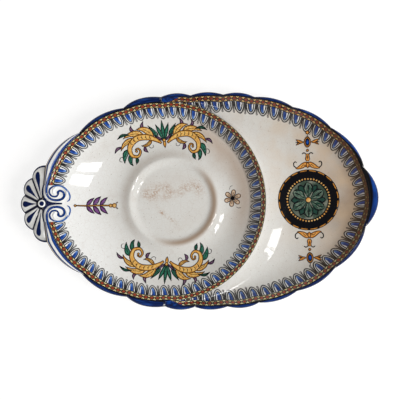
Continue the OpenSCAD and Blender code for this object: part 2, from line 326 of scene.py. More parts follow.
    def wall_z(self, turn, inward):
        run = self.saucer_line(turn) - self.trough_r
        height = self.rounded(inward, run, self.rim_h - self.floor_z, self.wall_power)
        return self.floor_z + height - self.crest(turn, inward)

    def well_z(self, reach):
        if reach <= self.shape.seat_r:
            return self.floor_z
        crest = self.shape.crest_r
        if reach < crest:
            share = (reach - self.shape.seat_r) / (crest - self.shape.seat_r)
            swing = self.ring_swing * math.sin(2 * math.pi * share) / (2 * math.pi)
            return self.floor_z + self.ring_h * (share - swing)
        share = min(1.0, (reach - crest) / (self.trough_r - crest))
        first, last = self.ring_powers
        return self.floor_z + self.ring_h * (1 - share**first) ** last

    def depth_share(self, turn):
        past = max(0.0, abs(turn) - self.floor_turn) / (self.horn - self.floor_turn)
        bend = math.cos(math.pi / 2 * min(1.0, past) ** self.depth_power)
        return self.horn_share + (1 - self.horn_share) * bend**2

    def valley_z(self, turn):
        return self.rim_h - (self.rim_h - self.floor_z) * self.depth_share(turn)

    def seat_z(self, turn):
        rise = self.inner_rise * self.depth_share(turn)
        return min(self.valley_z(turn) + rise, self.rim_h - self.rim_step)

    def valley_at(self, run):
        return min(self.valley_w, run * self.valley_share)

    def dish_z(self, turn, inward):
        """Height of the side dish at a distance inward from its outer line."""
        run = self.dish_line(turn) - self.saucer_line(turn)
        outward = run - inward
        valley = self.valley_z(turn)
        valley_at = self.valley_at(run)
        if outward >= valley_at:
            return valley + self.rounded(
                inward, run - valley_at, self.rim_h - valley, self.wall_power
            )
        seat = self.seat_z(turn)
        height = valley + (seat - valley) * (1 - outward / valley_at) ** 2
        fillet = min(self.shape.seat_fillet, 0.5 * (self.rim_h - seat), 0.3 * run)
        if outward < fillet:
            height += fillet * (1 - outward / fillet) ** 2
        return height

    def surface_z(self, x, y):
        """Height of the glaze over any point inside the plate's rim."""
        reach, turn = math.hypot(x, y), math.atan2(y, x)
        if reach <= self.trough_r:
            return self.well_z(reach)
        line = self.saucer_line(turn)
        if reach <= line:
            return self.wall_z(turn, line - reach)
        if abs(turn) > self.scroll:
            return self.band_z(abs(turn), reach)
        return self.dish_z(turn, max(0.0, self.dish_line(turn) - reach))

    def band_z(self, turn, reach):
        """Height of the scroll's band, which crowns between its two edges."""
        line = self.saucer_line(turn)
        run = self.band_line(turn) - line
        across = min(1.0, max(0.0, (reach - line) / run))
        crown = self.band_crown * run * math.sin(math.pi * min(1.0, across * 1.02)) ** 0.8
        fall = self.band_fall * across**6 if run > 1.5 * MM else 0.0
        return self.rim_h + crown - fall

    def band_line(self, turn):
        if turn >= self.shoulder_turn:
            return self.hub_line(turn)
        start = self.saucer_line(self.scroll) + self.lip_w
        share = (turn - self.scroll) / (self.shoulder_turn - self.scroll)
        return start + (self.shoulder.length - start) * share + 2 * MM * hump(share)

    def lobe_line(self, station, dish):
        turn, share = station
        if dish:
            rise = self.shape.far_rise if abs(turn) < self.dish_cusps[0] else self.shape.lobe_rise
            return self.dish_line(turn) + self.lip_w + rise * hump(share)
        lead = max(0.0, (self.saucer_cusps[0] - turn) / (self.saucer_cusps[0] - self.horn))
        line = self.saucer_line(turn)
        line += (self.dish_line(turn) - line) * lead
        return line + self.lip_w + self.shape.lobe_rise * hump(share)


# Meshes


class Skin:
    """A grid that is laid over the plate, with its paint's own measures as UV maps."""

    def __init__(self, name):
        self.name = name
        self.mesh = bmesh.new()
        self.paint = self.mesh.loops.layers.uv.new("paint")
        self.extra = self.mesh.loops.layers.uv.new("extra")

    def lay(self, columns, rows, place, index=0, upward=False):
        """Adds a grid of columns by rows. place(column, row) gives a point and its two UVs."""
        known = set(self.mesh.verts)
        bmesh.ops.create_grid(
            self.mesh, x_segments=columns - 1, y_segments=rows - 1, size=0.5
        )
        fresh = [v for v in self.mesh.verts if v not in known]
        spots = {}
        for vert in fresh:
            column = round((vert.co.x + 0.5) * (columns - 1))
            row = round((vert.co.y + 0.5) * (rows - 1))
            spots[vert] = place(column, row)
        faces = {face for vert in fresh for face in vert.link_faces}
        for face in faces:
            face.smooth = True
            face.material_index = index
            for loop in face.loops:
                loop[self.paint].uv = spots[loop.vert][1]
                loop[self.extra].uv = spots[loop.vert][2]
        for vert in fresh:
            vert.co = spots[vert][0]
        if upward:
            turned = [face for face in faces if normal_z(face) < 0]
            bmesh.ops.reverse_faces(self.mesh, faces=turned)

    def weld(self):
        """Welds seams and poles."""
        bmesh.ops.remove_doubles(self.mesh, verts=self.mesh.verts[:], dist=WELD)
        bmesh.ops.dissolve_degenerate(self.mesh, edges=self.mesh.edges[:], dist=WELD)

    def close(self, cap=False):
        """Welds the skin, caps its open ends and turns every face outwards."""
        self.weld()
        if cap:
            edges = [edge for edge in self.mesh.edges if edge.is_boundary]
            bmesh.ops.holes_fill(self.mesh, edges=edges, sides=0)
        bmesh.ops.recalc_face_normals(self.mesh, faces=self.mesh.faces[:])

    def mirror(self):
        """Turns the skin over to the plate's other side."""
        bmesh.ops.scale(self.mesh, vec=(1, -1, 1), verts=self.mesh.verts[:])
        bmesh.ops.reverse_faces(self.mesh, faces=self.mesh.faces[:])

    def finish(self, materials, slot, *nodes):
        """Makes the object, rides it on the plate and hides the CAD parts, if any, it stands in
        for.
        """
        bmesh.ops.translate(self.mesh, vec=(CUP_X, 0, 0), verts=self.mesh.verts[:])
        mesh = bpy.data.meshes.new(self.name)
        self.mesh.to_mesh(mesh)
        self.mesh.free()
        for material in materials:
            mesh.materials.append(material)
        piece = bpy.data.objects.new(self.name, mesh)
        bpy.context.collection.objects.link(piece)
        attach(piece, "root")
        if nodes:
            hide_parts(*nodes)
        return piece


def normal_z(face):
    face.normal_update()
    return face.normal.z


def polar(turn, reach, z):
    return Vector((reach * math.cos(turn), reach * math.sin(turn), z))


def measure(points):
    """Running length through a list of plan points."""
    total, lengths = 0.0, []
    for k, point in enumerate(points):
        if k:
            total += (point - points[k - 1]).length
        lengths.append(total)
    return lengths


class Border:
    """Measures points along a line of the plan and square to it, for the painted border."""

    reach_in = 25 * MM
    samples = 720

    def __init__(self, line):
        self.line = line
        turns = [math.pi * (2 * k / self.samples - 1) for k in range(self.samples + 1)]
        lengths = measure([polar(turn, line(turn), 0) for turn in turns])
        self.lengths = [value - lengths[self.samples // 2] for value in lengths]

    def along(self, turn):
        at = (turn / math.pi + 1) / 2 * self.samples
        low = min(self.samples - 1, max(0, int(at)))
        return self.lengths[low] + (self.lengths[low + 1] - self.lengths[low]) * (at - low)

    def uv(self, turn, inward):
        """Running length and distance of the line's nearest point."""
        if inward > self.reach_in:
            return self.along(turn), inward
        point = polar(turn, self.line(turn) - inward, 0)
        step = 0.001
        for _ in range(5):
            here = polar(turn, self.line(turn), 0)
            ahead = polar(turn + step, self.line(turn + step), 0) - here
            turn += step * (point - here).dot(ahead) / ahead.length_squared
        return self.along(turn), (point - polar(turn, self.line(turn), 0)).length


# Materials


class Signal:
    """One number of a node tree, which adds and multiplies as any number does."""

    def __init__(self, tree, socket):
        self.tree = tree
        self.socket = socket

    def do(self, operation, *others):
        node = self.tree.add("ShaderNodeMath", operation=operation)
        for k, value in enumerate((self,) + others):
            self.tree.wire(value, node.inputs[k])
        return Signal(self.tree, node.outputs[0])

    def __add__(self, other):
        return self.do("ADD", other)

    def __sub__(self, other):
        return self.do("SUBTRACT", other)

    def __mul__(self, other):
        return self.do("MULTIPLY", other)

    def __truediv__(self, other):
        return self.do("DIVIDE", other)

    def __pow__(self, other):
        return self.do("POWER", other)

    def __neg__(self):
        return self * -1.0

    def __abs__(self):
        return self.do("ABSOLUTE")

    def inverse(self):
        return self * -1.0 + 1.0

    def at_least(self, limit):
        return self.do("MAXIMUM", limit)

    def at_most(self, limit):
        return self.do("MINIMUM", limit)

    def off_middle(self):
        """Distance of the number's fraction from a half, from 0 to 0.5."""
        return abs(self.do("FRACT") - 0.5)

    def wave(self):
        """Distance to the nearest whole number, from 0 to 0.5."""
        return self.off_middle() * -1.0 + 0.5

    def run(self, low, high, start, end):
        """Runs smoothly from start to end while the number goes from low to high."""
        node = self.tree.add("ShaderNodeMapRange", interpolation_type="SMOOTHSTEP")
        self.tree.wire(self, node.inputs["Value"])
        names = ("From Min", "From Max", "To Min", "To Max")
        for name, value in zip(names, (low, high, start, end)):
            node.inputs[name].default_value = value
        return Signal(self.tree, node.outputs["Result"])

    def below(self, limit, soft=0.0001):
        """1 below the limit and 0 above it, with a soft step."""
        return (self - limit).run(-soft, soft, 1.0, 0.0)

    def above(self, limit, soft=0.0001):
        return self.below(limit, soft).inverse()

    def near(self, middle, half, soft=0.0001):
        """1 within half of the middle."""
        return abs(self - middle).below(half, soft)

    def between(self, low, high):
        """Runs from 0 to 1 between two limits."""
        return self.run(low, high, 0.0, 1.0)


class Tree:
    """Builds one glaze from nodes."""

    def __init__(self, name, roughness=0.055):
        self.material = bpy.data.materials.new(name)
        self.material.use_nodes = True
        self.nodes = self.material.node_tree.nodes
        self.links = self.material.node_tree.links
        self.nodes.clear()
        self.shader = self.add("ShaderNodeBsdfPrincipled")
        self.shader.inputs["Roughness"].default_value = roughness
        self.shader.inputs["IOR"].default_value = 1.5
        output = self.add("ShaderNodeOutputMaterial")
        self.links.new(self.shader.outputs[0], output.inputs["Surface"])
        self.place = self.add("ShaderNodeTexCoord").outputs["Object"]

    def add(self, kind, **settings):
        node = self.nodes.new(kind)
        for name, value in settings.items():
            setattr(node, name, value)
        return node

    def wire(self, value, socket):
        if isinstance(value, Signal):
            self.links.new(value.socket, socket)
        elif isinstance(value, bpy.types.NodeSocket):
            self.links.new(value, socket)
        elif isinstance(value, (int, float)):
            socket.default_value = value
        else:
            socket.default_value = (*value, 1.0)

    def axes(self, socket):
        node = self.add("ShaderNodeSeparateXYZ")
        self.links.new(socket, node.inputs[0])
        return [Signal(self, output) for output in node.outputs]

    def uv(self, name):
        return self.axes(self.add("ShaderNodeUVMap", uv_map=name).outputs[0])[:2]

    def position(self):
        return self.axes(self.place)

    def point(self, x, y, z=0.0):
        node = self.add("ShaderNodeCombineXYZ")
        for value, socket in zip((x, y, z), node.inputs):
            self.wire(value, socket)
        return node.outputs[0]

    def noise(self, scale, detail=2.0, at=None):
        node = self.add("ShaderNodeTexNoise")
        node.inputs["Scale"].default_value = scale
        node.inputs["Detail"].default_value = detail
        self.links.new(at or self.place, node.inputs["Vector"])
        return Signal(self, node.outputs[0])

    def cracks(self, scale):
        node = self.add("ShaderNodeTexVoronoi", feature="DISTANCE_TO_EDGE")
        node.inputs["Scale"].default_value = scale
        self.links.new(self.place, node.inputs["Vector"])
        return Signal(self, node.outputs["Distance"])

    def mix(self, factor, first, second):
        node = self.add("ShaderNodeMix", data_type="RGBA")
        self.wire(factor, node.inputs["Factor"])
        self.wire(first, node.inputs[6])
        self.wire(second, node.inputs[7])
        return node.outputs[2]

    def paint(self, base, *coats):
        """Lays coats of (mask, colour) over a base colour."""
        for mask, coat in coats:
            base = self.mix(mask, base, coat)
        return base

    def bump(self, height, distance, strength=1.0):
        node = self.add("ShaderNodeBump")
        node.inputs["Strength"].default_value = strength
        node.inputs["Distance"].default_value = distance
        self.wire(height, node.inputs["Height"])
        self.links.new(node.outputs[0], self.shader.inputs["Normal"])

    def colour(self, value):
        self.wire(value, self.shader.inputs["Base Color"])

    def glazed(self, value):
        """Takes the colour under a slightly uneven glaze and gives the material."""
        self.colour(value)
        self.bump(self.noise(110, 2.0) * 0.6 + self.noise(500, 1.0) * 0.08, 0.12 * MM, 0.6)
        return self.material


# Colours of the wear, the painted shade and highlights, the greys and the rosette, which the panel
# doesn't list
SPILT_TEA = (0.42, 0.26, 0.165)
WALL_STAIN_AND_SHADE = (0.44, 0.27, 0.155)
TAN_STAIN_AND_SHADE = (0.62, 0.455, 0.30)
FAR_SHADE_BROWN = (0.13, 0.07, 0.03)
BAND_SHADOW_DARK = (0.04, 0.022, 0.010)
FAR_SHADE_DARK = (0.07, 0.045, 0.027)
BORDER_SHADE_DARK = (0.06, 0.038, 0.02)
OLD_CREAM = (0.60, 0.31, 0.09)
PALE_BLUE = (0.16, 0.33, 0.72)
CREST_HIGHLIGHT_BLUE = (0.04, 0.15, 0.52)
LIGHT_BLUE = (0.03, 0.17, 0.58)
NAVY_INK = (0.010, 0.012, 0.03)
COOL_GREY = (0.6, 0.62, 0.62)
MID_GREY = (0.5, 0.5, 0.5)
WARM_GREY = (0.50, 0.44, 0.37)
FAN_SHADE_GREY = (0.36, 0.355, 0.34)
ROSETTE_PALE = (0.24, 0.25, 0.20)
ROSETTE_DARK = (0.045, 0.075, 0.055)
LEAF_LIGHT = (0.08, 0.15, 0.11)
LEAF_VEIN = (0.25, 0.29, 0.23)
LEAF_SHADE = (0.02, 0.06, 0.045)


def tone(value, factor):
    return tuple(part * factor for part in value)


def from_point(x, y, middle_x=0.0, middle_y=0.0):
    """Distance from a point, as a signal."""
    x = x - middle_x if middle_x else x
    y = y - middle_y if middle_y else y
    return (x**2.0 + y**2.0) ** 0.5


def white_ground(tree, glaze, top=0.0):
    """Crackled tin glaze: white at the handle, greyer in the bowls, browned at the far end; the
    greying and browning are partly painted shade.

    top is 1 on the upper side, where the saucer is stained and painted with shade.
    """
    x, y, _ = tree.position()
    cloud = tree.noise(38, 5.0)
    across = x + y * 0.2 + cloud * 0.03
    # Partly painted shade: whiter on the handle's side, where the light falls, and greyer beyond,
    # with the glaze's own ageing
    ground = tree.mix(across.between(-0.095, -0.02), glaze.white, glaze.aged_and_shaded)
    # Painted shade on the far end's walls, which face away from the lamp, with browning of the
    # glaze
    upper = y.between(0.015, 0.05) * 0.014
    far = (x - upper + y * 0.06 + cloud * 0.05).between(0.095, 0.16)
    ground = tree.mix(far * 0.92, ground, glaze.stain_and_shade)
    ground = tree.mix(cloud.between(0.52, 0.8) * 0.12, ground, glaze.stain_and_shade)
    ground = worn_and_shaded_saucer(tree, glaze, ground, cloud, top)
    specks = tree.noise(900, 1.0).above(0.74, 0.02)
    ground = tree.mix(specks * 0.5, ground, tone(glaze.stain_and_shade, 0.5))
    grain = tree.noise(1500, 2.0).between(0.3, 0.75)
    ground = tree.mix(grain * 0.09, ground, glaze.stain_and_shade)
    craze = tree.cracks(210).below(0.025, 0.025)
    return tree.mix(craze * 0.10, ground, glaze.stain_and_shade)


def worn_and_shaded_saucer(tree, glaze, ground, cloud, top):
    """Wear and painted shade of the saucer: tea spilt in the seat, stain with painted shade on the
    wall, dirt with painted shade on the ring's flanks.
    """
    x, y, _ = tree.position()
    cup_x = x - CUP_X
    reach = from_point(cup_x, y)
    seat = reach.below(24 * MM, 4 * MM)
    spill = (y - cup_x * 0.1 - 8.5 * MM).near(0.0, 4.5 * MM, 5.5 * MM)
    drip = (cup_x * 0.66 + y * 0.75 + 11.5 * MM).near(0.0, 0.8 * MM, 2.6 * MM)
    drip = drip * cup_x.near(-4 * MM, 7 * MM, 3 * MM)
    sprinkle = tree.noise(900, 5.0).between(0.36, 0.62)
    blots = tree.noise(110, 6.0).between(0.34, 0.60) * (spill + drip * 2.0)
    haze = cloud.between(0.35, 0.65) * 0.12
    spilled = (blots * sprinkle + haze) * seat * top * 0.75
    ground = tree.mix(spilled, ground, SPILT_TEA)
    # Brown on the wall's side away from the lamp: painted shade, with stain
    wall = (reach + cloud * (14 * MM)).near(62 * MM, 6 * MM, 10 * MM)
    wall = wall * ((cup_x * 0.85 + y * 0.52) / reach).between(0.25, 0.98)
    ground = tree.mix(wall * top * 0.58, ground, WALL_STAIN_AND_SHADE)
    # Painted shade with dirt on the ring's flanks that face away from the lamp: the inner flank on
    # the lamp's side, the outer flank on the far side
    toward_lamp = (cup_x * 0.85 - y * 0.52) / reach
    inner = reach.near(31.0 * MM, 2.0 * MM, 2.0 * MM) * toward_lamp.between(-0.1, 0.7)
    outer = reach.near(36.5 * MM, 2.2 * MM, 3.2 * MM) * (-toward_lamp).between(-0.2, 0.8)
    return tree.mix((inner * 0.8 + outer * 0.24) * top, ground, glaze.stain_and_shade)


def bead_band(tree, glaze, base, along, inward, width, warm):
    """Rust beads in a lattice of ink lines on cream, between two rules."""
    pitch = 4.4 * MM
    middle = abs(inward - width / 2) / (width / 2)
    cell = (along / pitch).wave() * 2.0
    band = inward.near(width / 2, width / 2, 0.05 * MM)
    cream = tree.mix(tree.noise(420, 3.0).between(0.45, 0.8), glaze.cream, glaze.straw)
    cream = tree.mix(warm, cream, OLD_CREAM)
    rust = tree.mix(warm, glaze.rust, tone(glaze.rust, 0.55))
    bead = cell.inverse() + middle * 1.15
    strand = abs(cell.inverse() - (middle * -0.95 + 1.02))
    stem = cell.below(0.13, 0.08) * middle.above(0.75, 0.1)
    beads = tree.paint(
        cream,
        (strand.below(0.17, 0.07), tone(glaze.ink, 1.6)),
        (stem * 0.8, glaze.ink),
        (bead.below(0.92, 0.07), glaze.ink),
        (bead.below(0.70, 0.07), rust),
    )
    rule, soft = 0.28 * MM, 0.08 * MM
    rules = inward.near(0.0, rule, soft) + inward.near(width, rule, soft)
    return tree.paint(base, (band, beads), (rules.at_most(1.0), glaze.ink))


def arch(across, down, half, depth):
    """1 inside a round-ended tongue that hangs from the bead band."""
    bend = (abs(across) / half) ** 2.0 + (down / depth).at_least(0.0) ** 2.2
    return bend.below(1.0, 0.11)


def tongues(tree, glaze, base, along, down, pitch, depth, deep):
    """A row of blue and white tongues with double outlines, darts between them."""
    wobble = (tree.noise(170, 2.0) - 0.5) * (0.9 * MM)
    steps = (along + down * 0.18) / pitch
    across = (steps.do("FRACT") - 0.5) * pitch + wobble
    down = down + (tree.noise(140, 2.0, tree.point(along, 0.0)) - 0.5) * (1.4 * MM)
    line = (0.8 + 0.3 * deep) * MM
    outer_w, outer_d = 0.445 * pitch, depth
    inner_w, inner_d = 0.295 * pitch, 0.82 * depth
    outer = arch(across, down, outer_w, outer_d)
    hollow = arch(across, down, outer_w - line, outer_d - line)
    inner = arch(across, down, inner_w, inner_d)
    fill = arch(across, down, inner_w - line, inner_d - line)
    streaks = tree.noise(1.0, 3.0, tree.point(along * 2300.0, down * 230.0))
    near = (down / depth).below(0.5, 0.4)
    wash = outer.inverse() * near * (streaks.between(0.3, 0.58) * 0.9 + 0.3 + deep * 0.4)
    edge = steps.wave() * pitch
    dart = edge.below(0.38 * MM, 0.12 * MM) * down.below(0.80 * depth, 0.05 * depth)
    knot = from_point(edge, down, 0.0, 0.88 * depth).near(0.6 * MM, 0.24 * MM, 0.1 * MM)
    whisker = (edge - down * 0.12).near(0.5 * MM, 0.16 * MM, 0.12 * MM)
    whisker = whisker * down.below(0.74 * depth, 0.1 * depth)
    pool = tree.noise(330, 3.0)
    tip = down / depth - across / pitch * 0.7 + (pool - 0.5) * 0.5
    light = tree.mix(tip.between(0.15, 0.85), tone(glaze.blue, 0.75), PALE_BLUE)
    core = (across + pool * (1.6 * MM)).near(0.6 * MM, 0.6 * MM, 0.4 * MM)
    core = core * (down / depth).below(0.42, 0.22)
    light = tree.mix(core * 0.9, light, tone(glaze.cobalt, 2.0))
    light = tree.mix(deep, light, glaze.cobalt)
    side = (pool * (1.3 * MM) - across).below(0.105 * pitch + 0.6 * MM, 0.35 * MM)
    between = hollow * inner.inverse() * streaks.between(0.5, 0.7) * near
    painted = tree.paint(
        base,
        (hollow * 0.6, glaze.white),
        (between * 0.6, glaze.ink),
        (wash.at_most(1.0), glaze.ink),
        (fill * side, light),
        (inner - fill, glaze.ink),
        (outer - hollow, glaze.ink),
        ((dart + knot + whisker * 0.8).at_most(1.0), glaze.ink),
    )
    return tree.mix(down.above(0.0, 0.05 * MM), base, painted)


def body_glaze(name, glaze, pitch, depth, deep=0.0, stop_y=0.0):
    """White glaze with the painted border; the paint map holds along and inward.

    pitch and depth are the tongues' own. deep is how dark their blue is, and above
    0 stands for the side dish, whose far end is darkened and browned: painted shade,
    with some browning of the glaze. The border stops at stop_y from the middle,
    beside the handle.
    """
    tree = Tree(name)
    along, inward = tree.uv("paint")
    _, lobe = tree.uv("extra")
    x, y, _ = tree.position()
    far_shade = x.between(0.05, 0.13)
    ground = white_ground(tree, glaze, inward.above(-3 * MM, MM))
    if deep:
        # Painted shade: the far end darkens to brown, strongest just below the middle, with some
        # browning of the glaze
        shade_strength = y.near(-11 * MM, 8 * MM, 13 * MM) * 0.42 + 0.24
        ground = tree.mix(far_shade * shade_strength, ground, FAR_SHADE_BROWN)
        # Tan towards the far and upper side, in patches: stains and painted shade
        mottle = tree.noise(60, 5.0, tree.point(x, y)).between(0.36, 0.66)
        tan_stain_and_shade = (x * 2.6 + y * 1.2).between(0.05, 0.34) * (mottle * 0.50 + 0.18)
        ground = tree.mix(tan_stain_and_shade, ground, TAN_STAIN_AND_SHADE)
    drift = (tree.noise(55, 1.0) - 0.5) * (0.5 * MM)
    drawn = inward + drift + lobe - 0.2 * MM
    width = 3.4 * MM
    painted = tongues(
        tree, glaze, ground, along, drawn - (width + 0.2 * MM), pitch, depth, deep
    )
    warm = (y + x * 0.4).between(10 * MM, 60 * MM) * (0.75 if deep else 0.25)
    painted = bead_band(tree, glaze, painted, along, drawn, width, warm)
    gap = tree.mix(tree.noise(260, 2.0).between(0.45, 0.7), glaze.ink, glaze.cobalt)
    if deep:
        # Painted shadow: the bead band goes near black at the far end, where the wall is steep
        band = drawn.below(width + 0.4 * MM, 0.5 * MM)
        band_shadow = (x + (tree.noise(70, 3.0) - 0.5) * 0.05).between(0.088, 0.125) * band
        painted = tree.mix(band_shadow * 0.72, painted, BAND_SHADOW_DARK)
        # Painted shade over the border at the far end
        soft = drawn.below(width + depth + MM, 6 * MM)
        painted = tree.mix(far_shade * soft * 0.50, painted, FAR_SHADE_DARK)
        # A blue-black strip outside the bead band at the far end: painted shadow with dark paint
        shadow_strip_side = y.between(-0.035, 0.01)
        strip = drawn - x.between(0.100, 0.135) * shadow_strip_side * (1.4 * MM)
        gap = tree.mix(x.between(0.09, 0.10) * shadow_strip_side, gap, glaze.ink)
        painted = tree.mix(strip.below(-0.2 * MM, 0.2 * MM), painted, gap)
        # Plain blue where the dish's ends are too narrow for a border
        horn = drawn + (x - CUP_X - 7 * MM) * 0.35
        brushed = tree.noise(300, 3.0).between(0.42, 0.7)
        blue = tree.mix(brushed, glaze.cobalt, tone(glaze.blue, 0.6))
        painted = tree.mix(horn.below(0.0, 0.25 * MM), painted, blue)
    else:
        # Painted shade over the saucer's border on the wall's side away from the lamp
        cup_x = x - CUP_X
        border = drawn.below(width + depth + MM, 0.6 * MM)
        border_shade = (cup_x * 0.94 + y * 0.34) / from_point(cup_x, y)
        border_shade = border_shade.between(0.4, 0.98) * border
        painted = tree.mix(border_shade * 0.32, painted, BORDER_SHADE_DARK)
        painted = tree.mix(drawn.below(-0.2 * MM, 0.08 * MM), painted, gap)
    mask = inward.above(-0.4 * MM, 0.1 * MM)
    if stop_y:
        clear = x.above(HANDLE_X, MM) + abs(y).above(stop_y, 0.3 * MM)
        mask = mask * clear.at_most(1.0)
    return tree.glazed(tree.mix(mask, ground, painted))


def edge_glaze(name, glaze):
    """Cobalt brushed along the lobes, with painted highlights, glints and shadow; the paint map
    holds along and outward share.
    """
    tree = Tree(name, 0.1)
    tree.shader.inputs["Specular IOR Level"].default_value = 0.25
    along, share = tree.uv("paint")
    lobe, outward = tree.uv("extra")
    brush = tree.noise(1.0, 4.0, tree.point(along * 110.0, share * 7.0))
    middle = lobe * lobe.inverse() * 4.0
    x, y, _ = tree.position()
    # Brighter blue streaks towards the far end: painted highlight
    fresh = x.between(0.08, 0.115) * 0.5 + 0.35
    base = tree.mix(brush.between(0.4, 0.68) * middle * fresh, glaze.cobalt, glaze.blue)
    # Painted highlight along the crown of each lobe
    lit = share.near(0.35, 0.08, 0.2) * middle * brush.between(0.48, 0.7)
    base = tree.mix(lit * 0.4, base, CREST_HIGHLIGHT_BLUE)
    # Painted highlight: a bright blue streak along the far lobes
    far = x.above(119 * MM, 3 * MM)
    streak = brush.between(0.3, 0.6) * 0.5 + 0.3
    base = tree.mix(far * share.near(0.5, 0.4, 0.2) * streak, base, tone(glaze.blue, 0.5))
    navy = x.between(0.055, 0.085) * y.between(-0.020, 0.004).inverse()
    base = tree.mix(navy * 0.9, base, glaze.cobalt)
    # Painted shadow with dark paint: a wide blue-black strip inside the far lobes, where the wall
    # is steep
    dark = outward - x.between(0.100, 0.138) * (y.between(-0.035, 0.01) * 2.1 + 0.7) * MM
    # Pale spots at the cusps: painted glints, with glaze worn thin
    worn_glint = lobe.wave().below(0.035, 0.03) * tree.noise(420, 2.0).above(0.56, 0.03)
    painted = tree.paint(
        base,
        (outward.below(0.45 * MM, 0.25 * MM), glaze.ink),
        (dark.below(0.0, 0.5 * MM) * x.above(90 * MM, 4 * MM), glaze.ink),
        (middle.below(0.16, 0.2) * 0.85, glaze.ink),
        (share.near(1.0, 0.24, 0.14), glaze.ink),
        (worn_glint * 0.8, glaze.white),
    )
    return tree.glazed(tree.mix(share.above(1.5, 0.12), painted, white_ground(tree, glaze)))


def scroll_glaze(name, glaze):
    """White band with a navy line outside and a thick blue one inside."""
    tree = Tree(name)
    _, share = tree.uv("paint")
    share = share + (tree.noise(130, 2.0) - 0.5) * 0.08
    grey = tree.noise(90, 3.0).between(0.3, 0.7) * 0.15
    ground = tree.mix(grey, glaze.white, COOL_GREY)
    painted = tree.paint(
        ground,
        (share.below(0.36, 0.03), tone(glaze.blue, 0.5)),
        (share.below(0.14, 0.05), glaze.cobalt),
        (share.near(0.35, 0.035, 0.03), glaze.cobalt),
        (share.near(0.77, 0.10, 0.03), tone(glaze.blue, 0.3)),
        (share.near(0.94, 0.06, 0.03) * 0.75, WARM_GREY),
        (share.near(1.0, 0.06, 0.04) * 0.6, glaze.stain_and_shade),
    )
    return tree.glazed(tree.mix(share.below(1.5, 0.1), white_ground(tree, glaze), painted))


def curl_glaze(name, glaze):
    """White ridge, greyed where it leaves the band."""
    tree = Tree(name)
    way, _ = tree.uv("paint")
    shade = way.below(0.3, 0.2) * 0.4 + tree.noise(90, 3.0).between(0.3, 0.7) * 0.2
    return tree.glazed(tree.mix(shade, glaze.white, MID_GREY))


def shell_glaze(name, glaze):
    """Navy drops on a grey-white fan, ink in the valleys and painted shade beside them."""
    tree = Tree(name)
    lobe, out = tree.uv("paint")
    across, from_hub = tree.uv("extra")
    ground = white_ground(tree, glaze)
    shade = tree.noise(70, 4.0).between(0.3, 0.72)
    middle = lobe.off_middle()
    # Painted shade: greyer towards the valleys between the lobes
    valley_shade = middle.between(0.12, 0.42)
    ground = tree.mix(shade * 0.45 + valley_shade * 0.25 + 0.1, ground, FAN_SHADE_GREY)
    middle = middle + (tree.noise(240, 2.0) - 0.5) * 0.07
    tail = out.at_least(0.0) ** 1.1
    head = ((out / 0.88) ** 9.0).inverse().at_least(0.0) ** 0.5
    drop = (middle - (tail * head * 0.265 + 0.016)).below(0.0, 0.028) * out.below(0.88, 0.01)
    valley = abs(across).below(0.46 * MM, 0.1 * MM)
    hub = from_hub.below(1.5 * MM, 0.4 * MM)
    painted = tree.paint(
        ground,
        (drop, tone(glaze.cobalt, 0.9)),
        # Brown by the valleys: painted shade with stain
        (middle.above(0.46, 0.04) * 0.15, glaze.stain_and_shade),
        ((valley + hub).at_most(1.0), NAVY_INK),
        (out.near(0.975, 0.03, 0.012), tone(glaze.cobalt, 0.7)),
    )
    return tree.glazed(tree.mix(out.below(1.0, 0.01), ground, painted))


def boss_glaze(name, glaze):
    """White boss with a blue eye and an ink rim."""
    tree = Tree(name)
    x, y, _ = tree.position()
    reach = from_point(x, y, CUP_X + HUB_X) + (tree.noise(300, 2.0) - 0.5) * (0.4 * MM)
    return tree.glazed(tree.paint(
        glaze.white,
        (reach.below(1.75 * MM, 0.2 * MM), glaze.cobalt),
        (reach.above(2.75 * MM, 0.15 * MM), glaze.ink),
    ))


def enamel(name, glaze, fill, light=None, line=0.28, outline=None):
    """Brushed colour, shaded to its sides and lit along its middle, with an outline."""
    tree = Tree(name, 0.12)
    along, inside = tree.uv("paint")
    brush = tree.noise(1.0, 3.0, tree.point(along * 420.0, inside * 1400.0))
    base = tree.mix(brush.between(0.35, 0.65) * 0.5, fill, tone(fill, 0.5))
    if light:
        lit = inside.between(0.4 * MM, 1.3 * MM) * brush.between(0.3, 0.55)
        base = tree.mix(lit, base, light)
    wobble = (tree.noise(500, 2.0) - 0.5) * (0.24 * MM)
    shade = (inside + wobble * 2.0).below((line + 0.35) * MM, 0.3 * MM)
    base = tree.mix(shade * 0.65, base, tone(fill, 0.22))
    edge = (inside + wobble).below(line * MM, 0.1 * MM)
    return tree.glazed(tree.mix(edge, base, outline or glaze.ink))


